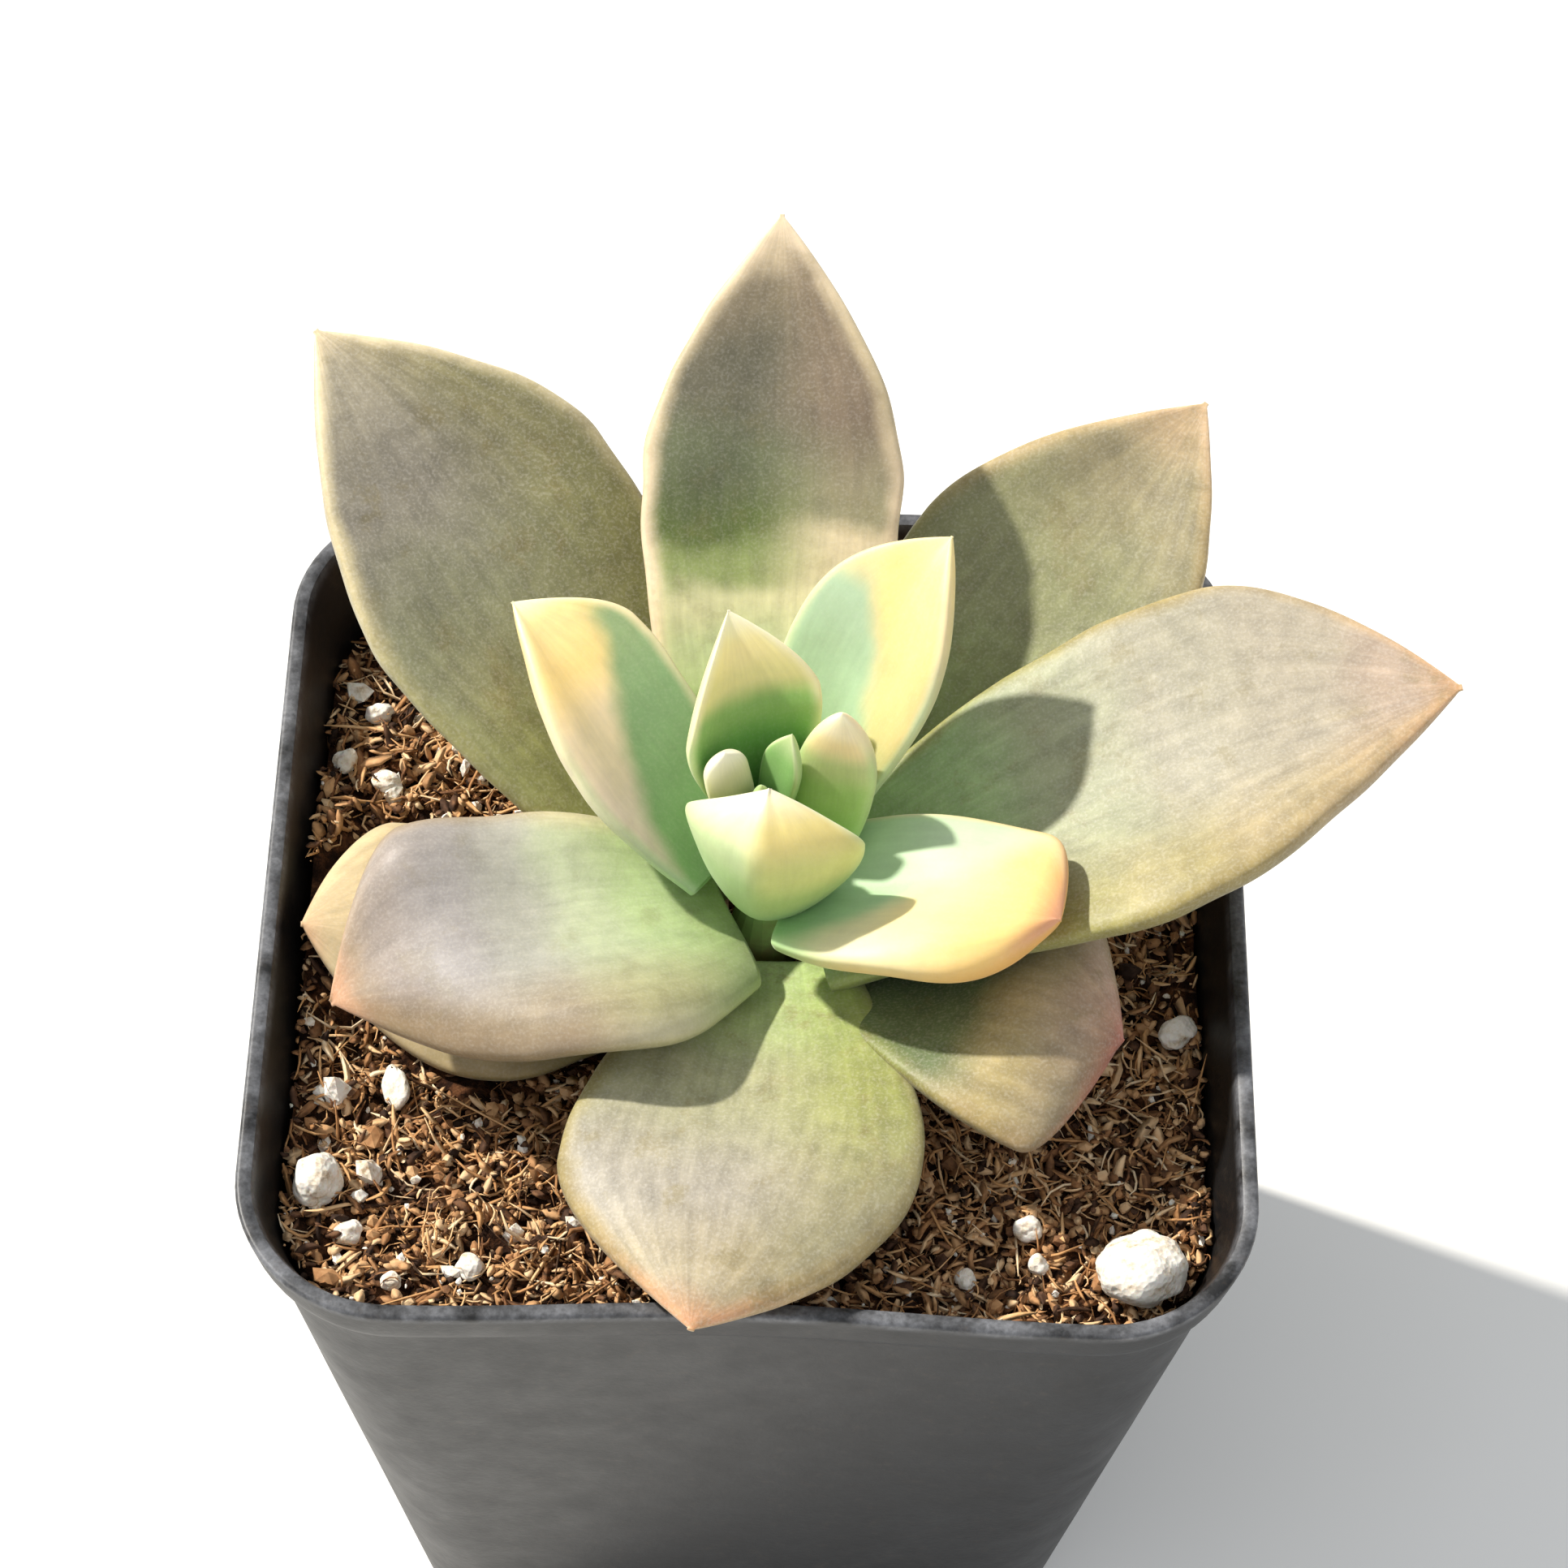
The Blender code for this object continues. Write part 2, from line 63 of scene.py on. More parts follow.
# %% Camera
ELEVATION = math.radians(55.0)
TURN = math.radians(-1.0)
TILT = math.radians(2.5)
DISTANCE = 296.0 * MM
aim = np.array([1.69, 8.7, 62.0]) * MM

back = np.array([math.sin(TURN) * math.cos(ELEVATION), -math.cos(TURN) * math.cos(ELEVATION),
                 math.sin(ELEVATION)])
level = np.array([math.cos(TURN), math.sin(TURN), 0.0])
upward = np.cross(back, level)
right = math.cos(TILT) * level + math.sin(TILT) * upward
above = math.cos(TILT) * upward - math.sin(TILT) * level

lens = bpy.data.cameras.new("camera")
lens.lens = 102.5
lens.sensor_width = 36.0
lens.clip_start = 0.01
lens.clip_end = 20.0
camera = bpy.data.objects.new("camera", lens)
camera.matrix_world = Matrix([[*row, place] for row, place in
                              zip(np.column_stack([right, above, back]), aim + back * DISTANCE)]
                             + [[0, 0, 0, 1]])
bpy.context.scene.collection.objects.link(camera)
bpy.context.scene.camera = camera
print("camera at", [round(value, 3) for value in camera.matrix_world.translation])

# %% [markdown]
# ## Light and floor
# The plant stands in sunlight from the left and a little behind, 43 degrees up, so the
# shadows fall to the lower right. A sun lamp with a wide disc gives those shadows with the
# soft edge of a studio lamp. The pale world fills them, and a wide pale floor sends light
# back up under the leaves.

# %% Sun, fill and floor
SUN = Vector((-0.64, 0.34, 0.69)).normalized()

lamp = bpy.data.lights.new("key", "SUN")
lamp.energy = 5.0
lamp.angle = math.radians(2.5)
lamp.color = (1.0, 0.955, 0.88)
key = bpy.data.objects.new("key", lamp)
key.matrix_world = SUN.to_track_quat("Z", "Y").to_matrix().to_4x4()
bpy.context.scene.collection.objects.link(key)

world = bpy.data.worlds.new("studio")
world.use_nodes = True
world.node_tree.nodes["Background"].inputs["Color"].default_value = (0.93, 0.96, 1.0, 1.0)
world.node_tree.nodes["Background"].inputs["Strength"].default_value = 0.7
bpy.context.scene.world = world
bpy.context.scene.view_settings.view_transform = "Standard"
print("sun from", [round(value, 2) for value in SUN])

# %% [markdown]
# ## Helpers
# Colours are written as sRGB hex, as a paint chart gives them, and a shader wants linear
# light. `linear` turns one into the other. `add` puts one node in a material, and the short
# functions after it add the kinds that every material here uses.
#
# A closed surface here is a stack of rings. Row after row of rings is joined with quads, and
# each end is closed with a fan of triangles. `closed_surface` does that for any array of
# shape (rings, points, 3) without a loop over its points.

# %% Colour and node helpers
def linear(code):
    """sRGB hex to linear RGBA: (c + 0.055) / 1.055 to the power 2.4, or c / 12.92 when dark."""
    value = np.array([int(code[i:i + 2], 16) for i in (0, 2, 4)]) / 255.0
    value = np.where(value > 0.04045, ((value + 0.055) / 1.055) ** 2.4, value / 12.92)
    return (*value.tolist(), 1.0)


def add(tree, kind, settings=None, links=None):
    """One node: settings are its properties, links give each input a socket or a value."""
    node = tree.nodes.new(kind)
    for key_name, value in (settings or {}).items():
        setattr(node, key_name, value)
    for socket, source in (links or {}).items():
        if isinstance(source, bpy.types.NodeSocket):
            tree.links.new(source, node.inputs[socket])
        else:
            node.inputs[socket].default_value = source
    return node


def new_material(name, **settings):
    """A material: itself, its tree, its Principled shader and the place on the object."""
    material = bpy.data.materials.new(name)
    material.use_nodes = True
    tree = material.node_tree
    shader = tree.nodes["Principled BSDF"]
    for socket, value in settings.items():
        shader.inputs[socket.replace("_", " ")].default_value = value
    return material, tree, shader, add(tree, "ShaderNodeTexCoord").outputs["Object"]


def attribute(tree, name):
    """A number kept on the mesh's vertices."""
    return add(tree, "ShaderNodeAttribute", {"attribute_name": name}).outputs["Fac"]


def noise(tree, place, scale, detail, roughness=0.5):
    """Noise from 0 to 1, whose largest spots are about 1 / scale metres across."""
    return add(tree, "ShaderNodeTexNoise", None, {"Vector": place, "Scale": scale, "Detail": detail,
                                                  "Roughness": roughness}).outputs["Fac"]


def maths(tree, operation, *values):
    """One Math node: each value is a socket or a number."""
    return add(tree, "ShaderNodeMath", {"operation": operation}, dict(enumerate(values))).outputs[0]


def map_range(tree, value, low, high, to_low=0.0, to_high=1.0, curve="LINEAR"):
    """Turns low to high into to_low to to_high, and goes past neither."""
    return add(tree, "ShaderNodeMapRange", {"interpolation_type": curve},
               {"Value": value, "From Min": low, "From Max": high, "To Min": to_low,
                "To Max": to_high}).outputs[0]


def blend(tree, factor, first, second, kind="MIX"):
    """Mixes two colours, by the factor."""
    return add(tree, "ShaderNodeMix", {"data_type": "RGBA", "blend_type": kind},
               {"Factor": factor, 6: first, 7: second}).outputs[2]


def ramp(tree, factor, tones, curve="EASE"):
    """A colour ramp. Its tones read "0 A0A058, 30 8A8A56": per cent of the way, and colour."""
    node = add(tree, "ShaderNodeValToRGB", None, {"Fac": factor})
    node.color_ramp.interpolation = curve
    elements = node.color_ramp.elements
    stops = [tone.split() for tone in tones.split(",")]
    while len(elements) < len(stops):
        elements.new(1.0)
    for element, (percent, code) in zip(elements, stops):
        element.position = int(percent) / 100
        element.color = linear(code)
    return node.outputs[0]


def relief(tree, shader, height, strength, distance):
    """Bumps the shader's surface by a height, at most distance metres."""
    bump = add(tree, "ShaderNodeBump", None,
               {"Height": height, "Strength": strength, "Distance": distance}).outputs[0]
    tree.links.new(bump, shader.inputs["Normal"])


print("linear mid grey", round(linear("808080")[0], 3))


# %% Surface helpers
def finish_object(name, points, faces, smooth=True):
    """A mesh object from an array of points and a list of faces, both ready made."""
    mesh = bpy.data.meshes.new(name)
    mesh.from_pydata(points.tolist(), [], faces)
    mesh.update()
    mesh.polygons.foreach_set("use_smooth", np.full(len(mesh.polygons), smooth))
    piece = bpy.data.objects.new(name, mesh)
    bpy.context.scene.collection.objects.link(piece)
    return piece


def ring_faces(rings, points, first=0):
    """Quads between rings and a fan over each end; the two end points come after the rings."""
    row, column = np.meshgrid(np.arange(rings - 1), np.arange(points), indexing="ij")
    here = row * points + column
    beside = row * points + (column + 1) % points
    walls = np.stack([here, beside, beside + points, here + points], axis=-1).reshape(-1, 4)
    around = np.arange(points)
    after = (around + 1) % points
    low = np.full(points, rings * points)
    top = (rings - 1) * points
    start = np.stack([low, after, around], axis=-1)
    end = np.stack([low + 1, top + around, top + after], axis=-1)
    return (walls + first).tolist(), (start + first).tolist() + (end + first).tolist()


def closed_surface(name, rings):
    """A closed mesh through rings, shape (rings, points, 3), with each end fanned shut."""
    count, points = rings.shape[:2]
    ends = np.stack([rings[0].mean(axis=0), rings[-1].mean(axis=0)])
    walls, caps = ring_faces(count, points)
    return finish_object(name, np.vstack([rings.reshape(-1, 3), ends]), walls + caps)


def store(mesh, name, values):
    """Keeps one number for each vertex, as a named attribute that a material can read."""
    mesh.attributes.new(name, "FLOAT", "POINT").data.foreach_set("value", values.astype(np.float32))


def waves(points, size, seed, count=7):
    """Smooth unevenness from -1 to 1: a mean of sines along random directions, size apart."""
    dice = np.random.default_rng(seed)
    way = dice.normal(size=(count, points.shape[-1]))
    way = way / np.linalg.norm(way, axis=1, keepdims=True)
    way = way * dice.uniform(0.6, 1.6, (count, 1)) * 2 * np.pi / size
    return np.sin(points @ way.T + dice.uniform(0, 2 * np.pi, count)).mean(axis=-1) * 1.6


print("helpers ready")

# %% [markdown]
# ## The shape of a leaf
# A leaf of this plant is a thick blade: nearly flat above, keeled below, with round fleshy
# margins and a small point. It could be sculpted, but all eighteen leaves follow one rule,
# so one surface of two parameters is simpler: t runs from foot to tip, and an angle runs
# round the leaf. The midline is a path whose slope and heading change along t. The width
# opens as a quarter sine and closes as 1 - s ** point. Each ring across it is a flattened
# oval whose margins are lifted by the cup.
#
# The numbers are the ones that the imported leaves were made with, so that each fine leaf
# lies where its packed leaf does. The last column lists dents: where along the leaf, where
# across it, how far each spreads, and how far it lifts the blade in millimetres.

# %% Leaf table
from collections import namedtuple

STEM = np.array([0.5, -1.5]) * MM
MIX_LEVEL = 56.4 * MM
Leaf = namedtuple("Leaf", "name foot at reach heading sweep rise bend curl length width thick "
                          "cup cup_tip roll base fill widest lop point dents")

LEAVES = [
    Leaf("outer_left_low", 1.25, 180, 3.5, 181, 4, 1, 11, 8, 26.8, 20.3, 3.6,
         0, -0.33, 1, 0.23, 1.7, 0.62, -0.14, 1.7, []),
    Leaf("outer_right_low", 1, -17, 3.5, -30, 8, 32, -21, -30, 23.5, 21, 4.2,
         0.16, -0.05, 6, 0.2, 2.1, 0.68, -0.18, 2.6, [(0.45, 0, 0.2, 0.6, -1),
                                                      (0.74, 0, 0.16, 0.8, 0.9),
                                                      (1, 0.9, 0.2, 0.5, -0.8)]),
    Leaf("outer_right_back", 2.2, 52, 3.5, 48.5, 0, 20, 6, 0, 43.5, 20, 4.6,
         0.2, 0.2, -8, 0.26, 1.5, 0.6, 0, 1.7, [(0.8, -0.8, 0.1, 0.3, 0.5)]),
    Leaf("outer_left_back", 3.4, 130, 3.5, 134.5, 0, 31, -4, 0, 45.8, 22, 5,
         0.22, 0.2, 0, 0.28, 1.5, 0.6, -0.05, 1.7, [(0.9, 0.4, 0.1, 0.4, 0.4)]),
    Leaf("outer_front", 3.4, -85, 3.5, -90, -16, 19, -19, 0, 29.5, 22.5, 5.2,
         0.15, -0.1, 0, 0.3, 1.5, 0.6, -0.05, 1.7, [(0.45, 0.1, 0.14, 0.6, -0.6),
                                                    (0.62, -0.5, 0.10, 0.5, 0.4)]),
    Leaf("outer_left", 6.9, 207, 3.2, 206, -17, 32, -60, -6, 27, 20, 5,
         0.08, -0.16, 4, 0.38, 1.1, 0.53, -0.2, 1.8, [(0.76, 0.75, 0.16, 0.4, 2.4),
                                               (0.46, 0.35, 0.14, 0.5, -1.1),
                                               (0.28, 0.2, 0.16, 0.5, -0.8),
                                               (0.40, -0.85, 0.24, 0.4, 2.0)]),
    Leaf("outer_right", 4.6, -2, 3.5, 16.5, -8, 28, -14, 0, 44.5, 23, 5.4,
         0.22, 0.15, 0, 0.28, 1.5, 0.6, 0.08, 1.7, [(0.55, 0.1, 0.2, 0.4, -0.35)]),
    Leaf("outer_back", 5.9, 97, 3, 89.5, 0, 34.5, 0, 0, 43, 17, 4.8,
         0.22, 0.2, 0, 0.36, 1.5, 0.6, 0, 1.7, [(0.6, -0.1, 0.2, 0.35, -0.3)]),
    Leaf("inner_left", 9.75, 165, 2.9, 139.5, -3, 31, 1, -9, 21.6, 10.8, 3.8,
         0.45, 0.35, 1, 0.47, 1.1, 0.58, -0.17, 1.7, [(0.55, -0.7, 0.4, 0.35, 0.4)]),
    Leaf("inner_right_back", 11.1, 56, 3.1, 62, -19, 38, 12, 0, 22, 11.4, 3.6,
         0.35, 0.36, 3, 0.28, 1.15, 0.56, 0.03, 2.2, [(0.55, 0.7, 0.4, 0.35, 0.35)]),
    Leaf("inner_right", 10.02, -45, 2.9, -13, -9, 21.5, 0, -5, 18.4, 12.8, 4.3,
         0.3, 0, 0, 0.52, 0.9, 0.63, 0.17, 3, [(0.6, 0.65, 0.35, 0.35, 0.7),
                                               (0.4, -0.1, 0.25, 0.3, -0.4)]),
    Leaf("crown_back", 13.3, 110, 2.2, 105, 2, 60, 3, -12, 14.6, 9.5, 2.7,
         0.48, 0.5, -9, 0.24, 1.7, 0.55, -0.08, 1.4, []),
    Leaf("crown_front", 12.1, -90, 3.3, -95, 0, 68, 60, 0, 10.8, 11.6, 3,
         0.5, 0.3, 10, 0.5, 1, 0.6, 0, 1.7, [(0.75, 0, 0.45, 0.16, -0.35)]),
    Leaf("crown_right", 13.3, -4, 3.5, 73, 0, 50, 44, 0, 11.2, 5.4, 2.9,
         0.05, 0, 0, 0.5, 1, 0.5, 0, 1.8, []),
    Leaf("heart_left", 14.6, 186, 1.6, 125, 0, 66, 15, 0, 7, 3.2, 1.4,
         0, 0, 0, 0.5, 1, 0.7, 0, 3.4, []),
    Leaf("heart_back", 14.8, 80, 1.2, 45, 0, 74, 6, 0, 7.6, 3, 1.4,
         0.2, 0.2, 0, 0.5, 1.5, 0.6, 0, 1.7, []),
    Leaf("heart_front", 14.9, -50, 1, -40, 0, 84, 10, 0, 5.2, 2, 1,
         0.2, 0.2, 0, 0.5, 1.5, 0.6, 0, 1.7, []),
    Leaf("heart_middle", 15.5, 180, 0.3, 140, 0, 84, 10, 0, 4.4, 1.6, 0.9,
         0.2, 0.2, 0, 0.5, 1.5, 0.6, 0, 1.7, []),
]
print("leaves", len(LEAVES))


# %% Leaf midline and width
def ease(x):
    """0 to 1 with a soft start and end: 3 x squared minus 2 x cubed."""
    x = np.clip(x, 0.0, 1.0)
    return x * x * (3 - 2 * x)


CURL_FROM = 0.6    # where along the leaf its curl begins


def leaf_direction(leaf, t):
    """The way the midline grows at t: slope rise + bend t + curl late squared."""
    late = np.clip((t - CURL_FROM) / (1.0 - CURL_FROM), 0.0, 1.0)
    slope = np.radians(leaf.rise + leaf.bend * t + leaf.curl * late ** 2)
    turn = np.radians(leaf.heading + leaf.sweep * t)
    return np.stack([np.cos(slope) * np.cos(turn), np.cos(slope) * np.sin(turn),
                     np.sin(slope)], axis=-1)


def leaf_midline(leaf, t):
    """The foot, plus the direction added up along the leaf's length."""
    steps = 400
    middles = (np.arange(steps) + 0.5) / steps
    path = np.vstack([np.zeros(3), np.cumsum(leaf_direction(leaf, middles), axis=0) / steps])
    ends = np.linspace(0.0, 1.0, steps + 1)
    curve = np.stack([np.interp(t, ends, path[:, axis]) for axis in range(3)], axis=-1)
    at = math.radians(leaf.at)
    foot = np.array([STEM[0] + leaf.reach * MM * math.cos(at),
                     STEM[1] + leaf.reach * MM * math.sin(at), MIX_LEVEL + leaf.foot * MM])
    return foot + curve * leaf.length * MM


def leaf_sides(leaf, t):
    """Unit vectors towards the right margin and out of the upper face, turned by the roll."""
    turn = np.radians(leaf.heading + leaf.sweep * t)
    side = np.stack([np.sin(turn), -np.cos(turn), np.zeros_like(turn)], axis=-1)
    up = np.cross(side, leaf_direction(leaf, t))
    roll = math.radians(leaf.roll)
    return side * math.cos(roll) + up * math.sin(roll), up * math.cos(roll) - side * math.sin(roll)


BLUNT = 0.02       # share of the half width left at the very tip
CLASP = 0.34       # a fleshy foot spreads round the stem: this much of the narrowing is filled


def half_width(leaf, t, widest):
    """Half the width: a quarter sine up to the widest place, then 1 - s ** point to the tip."""
    opening = np.sin(math.pi / 2 * np.clip(t / widest, 0.0, 1.0)) ** leaf.fill
    ending = 1.0 - np.clip((t - widest) / (1.0 - widest), 0.0, 1.0) ** leaf.point
    base = leaf.base + CLASP * (1.0 - leaf.base)
    return leaf.width / 2 * MM * np.where(t < widest, base + (1.0 - base) * opening,
                                          np.maximum(ending, BLUNT))


print("half width of the first leaf, in mm", half_width(LEAVES[0], np.array([0.5]), 0.55) / MM)


# %% Leaf surface
CROWDING = 1.3         # above 1, rings stand closer together towards the tip
ROUND_SIDE = 0.85      # below 1, a ring's sides are fuller than an oval's
ROUND_FACE = 0.86      # and so are its faces
UPPER_SHARE = 0.36     # share of the thickness above the midline
MARGIN_POWER = 1.8     # how late across the leaf the cup begins to lift
THIN_POWER = 0.75      # how slowly a leaf thins as it narrows


def make_leaf(leaf, stations, around):
    """One closed leaf: rings of flattened ovals along the midline, margins lifted by the cup."""
    t = 1.0 - (1.0 - np.linspace(0.0, 1.0, stations)) ** CROWDING
    angle = np.arange(around) * 2 * math.pi / around
    across = np.sign(np.cos(angle)) * np.abs(np.cos(angle)) ** ROUND_SIDE
    share = np.where(np.sin(angle) > 0, UPPER_SHARE, 1 - UPPER_SHARE)
    depth = share * np.sign(np.sin(angle)) * np.abs(np.sin(angle)) ** ROUND_FACE
    mean_half = half_width(leaf, t, leaf.widest)
    right_half = half_width(leaf, t, leaf.widest - leaf.lop)
    left_half = half_width(leaf, t, leaf.widest + leaf.lop)
    thin = np.minimum(1.0, mean_half / (leaf.width / 2 * MM)) ** THIN_POWER
    cup = leaf.cup + (leaf.cup_tip - leaf.cup) * ease((t - 0.3) / 0.6)
    own_half = np.where(across > 0, right_half[:, None], left_half[:, None])
    lift = (leaf.thick * MM * thin)[:, None] * depth
    lift = lift + (cup * mean_half)[:, None] * np.abs(across) ** MARGIN_POWER
    for along_at, across_at, along_spread, across_spread, height in leaf.dents:
        bump = np.exp(-((t - along_at) / along_spread)[:, None] ** 2
                      - ((across - across_at) / across_spread) ** 2)
        lift = lift + height * MM * bump
    # unevenness: broad, fine, and along the margins
    flat = np.stack([t[:, None] * leaf.length + 0 * across, own_half / MM * across], axis=-1)
    seed = len(leaf.name) * 7 + int(leaf.heading) + 180
    lift = lift + 0.13 * MM * thin[:, None] * waves(flat, 11.0, seed)
    lift = lift + 0.012 * MM * thin[:, None] * waves(flat, 2.6, seed + 1, 14)
    edge = own_half * across + 0.12 * MM * thin[:, None] * waves(flat, 7.0, seed + 2) * across
    side, up = leaf_sides(leaf, t)
    rings = (leaf_midline(leaf, t)[:, None] + edge[..., None] * side[:, None]
             + lift[..., None] * up[:, None])[:, ::-1]
    piece = closed_surface("blade_" + leaf.name, rings)

    under = ease(0.5 - 1.6 * np.sin(angle))
    rim = np.minimum((1 - np.abs(across)) * own_half, ((1 - t) * leaf.length * MM)[:, None] * 0.7)
    fields = {"across": 0 * t[:, None] + across, "along": t[:, None] + 0 * across,
              "under": 0 * t[:, None] + under, "rim": rim / MM}
    for field, values in fields.items():
        values = values[:, ::-1]
        ends = [values[0].mean(), values[-1].mean()]
        store(piece.data, field, np.concatenate([values.ravel(), ends]))
    return piece


leaf_pieces = {}
for leaf in LEAVES:
    fine = leaf.length > 20
    leaf_pieces[leaf.name] = make_leaf(leaf, 150 if fine else 90, 112 if fine else 72)
print("leaf triangles", sum(2 * len(piece.data.polygons) for piece in leaf_pieces.values()))

# %% [markdown]
# ## The skin of a leaf
# On the low front-right leaf, painted shade darkens the tones from the foot to past the middle, and
# painted sunlight brightens its end.
# Real skin: a waxy cuticle over green flesh, with a fine pale bloom that looks like dust.
# The outer leaves have gone mauve and olive in the sun. The inner ones are variegated: cream
# and yellow where a leaf has no green, soft green where it has.
#
# Each leaf could have a painted image, but its pattern follows the leaf's own directions, so
# its colour is worked out from them: a ramp from foot to tip down the middle, another along
# the margins, one for the underside, and a wash where the second tone lies. Noise bends the
# edge between two tones. Spots of bloom and mottling go over all of it. Flesh lets light in,
# so the shader has some subsurface light with a green and yellow tint.

# %% Leaf skin
def leaf_skin(name, spine, margin, below, rim_width, bloom, flesh_light,
              wash=None, wash_at=None, wash_below=0.0, mark="7D7040"):
    """A leaf's material. Its tones run from foot to tip; rim_width is in millimetres.

    wash_at is (across, along, shift, softness): the wash covers where
    across * a + along * b + shift is above zero. The share wash_below of it shows underneath.
    Where there is bloom there are corky marks too, in the colour mark.
    """
    material, tree, shader, place = new_material(
        name, Roughness=0.5, Specular_IOR_Level=0.4, Subsurface_Weight=0.2,
        Subsurface_Scale=0.0016, Sheen_Weight=0.12, Sheen_Roughness=0.5,
        Subsurface_Radius=flesh_light)
    along = attribute(tree, "along")
    across = attribute(tree, "across")

    # broad unevenness, 7 mm across, that bends every boundary
    sway = maths(tree, "SUBTRACT", noise(tree, place, 140.0, 3.0, 0.55), 0.5)
    bent = maths(tree, "MULTIPLY_ADD", sway, 0.14, along)
    colour = ramp(tree, bent, spine)
    under_colour = ramp(tree, bent, below)

    # the second tone lies on one side of a slanting line across the leaf
    if wash:
        a, b, shift, soft = wash_at
        slant = maths(tree, "MULTIPLY_ADD", across, a, shift)
        slant = maths(tree, "MULTIPLY_ADD", bent, b, slant)
        slant = maths(tree, "MULTIPLY_ADD", sway, 0.3, slant)
        washed = map_range(tree, slant, -soft, soft, curve="SMOOTHSTEP")
        second = ramp(tree, bent, wash)
        colour = blend(tree, washed, colour, second)
        under_colour = blend(tree, maths(tree, "MULTIPLY", washed, wash_below), under_colour, second)

    # the margin's own tone fades inwards
    loose_rim = maths(tree, "MULTIPLY_ADD", sway, rim_width * 1.2, attribute(tree, "rim"))
    marginal = map_range(tree, loose_rim, rim_width, 0.0, curve="SMOOTHSTEP")
    colour = blend(tree, marginal, colour, ramp(tree, along, margin))
    colour = blend(tree, attribute(tree, "under"), colour, under_colour)

    # streaks that run along the leaf, where the skin has stretched
    lanes = add(tree, "ShaderNodeCombineXYZ", None, {0: across, 1: along}).outputs[0]
    lanes = add(tree, "ShaderNodeVectorMath", {"operation": "MULTIPLY"},
                {0: lanes, 1: (5.0, 1.6, 1.0)}).outputs[0]
    streak = noise(tree, lanes, 2.4, 4.0, 0.6)
    streaky = map_range(tree, streak, 0.35, 0.68, 1 - 0.16 * bloom, 1 + 0.12 * bloom)
    colour = blend(tree, 1.0, colour, streaky, "MULTIPLY")

    # corky marks, in loose patches 3 mm across
    patch = noise(tree, place, 330.0, 5.0, 0.7)
    marked = map_range(tree, patch, 0.53, 0.68, 0.0, 0.55 * bloom * bloom, "SMOOTHSTEP")
    colour = blend(tree, marked, colour, linear(mark))

    # mottling 1.5 mm across, darker and lighter
    mottle = noise(tree, place, 620.0, 4.0, 0.6)
    shade = map_range(tree, mottle, 0.3, 0.7, 1 - 0.22 * bloom, 1 + 0.14 * bloom)
    colour = blend(tree, 1.0, colour, shade, "MULTIPLY")

    # bloom: pale dust in grains of 0.2 mm, drawn twice the real size so that it shows
    dusty = map_range(tree, noise(tree, place, 5200.0, 2.0), 0.46, 0.75, 0.0, 0.2 * bloom)
    colour = blend(tree, dusty, colour, linear("EDE6DA"))

    # skin is faintly pebbled, 0.3 mm across
    relief(tree, shader, noise(tree, place, 2600.0, 3.0), 0.25 * bloom, 0.00012)
    tree.links.new(colour, shader.inputs["Base Color"])
    return material


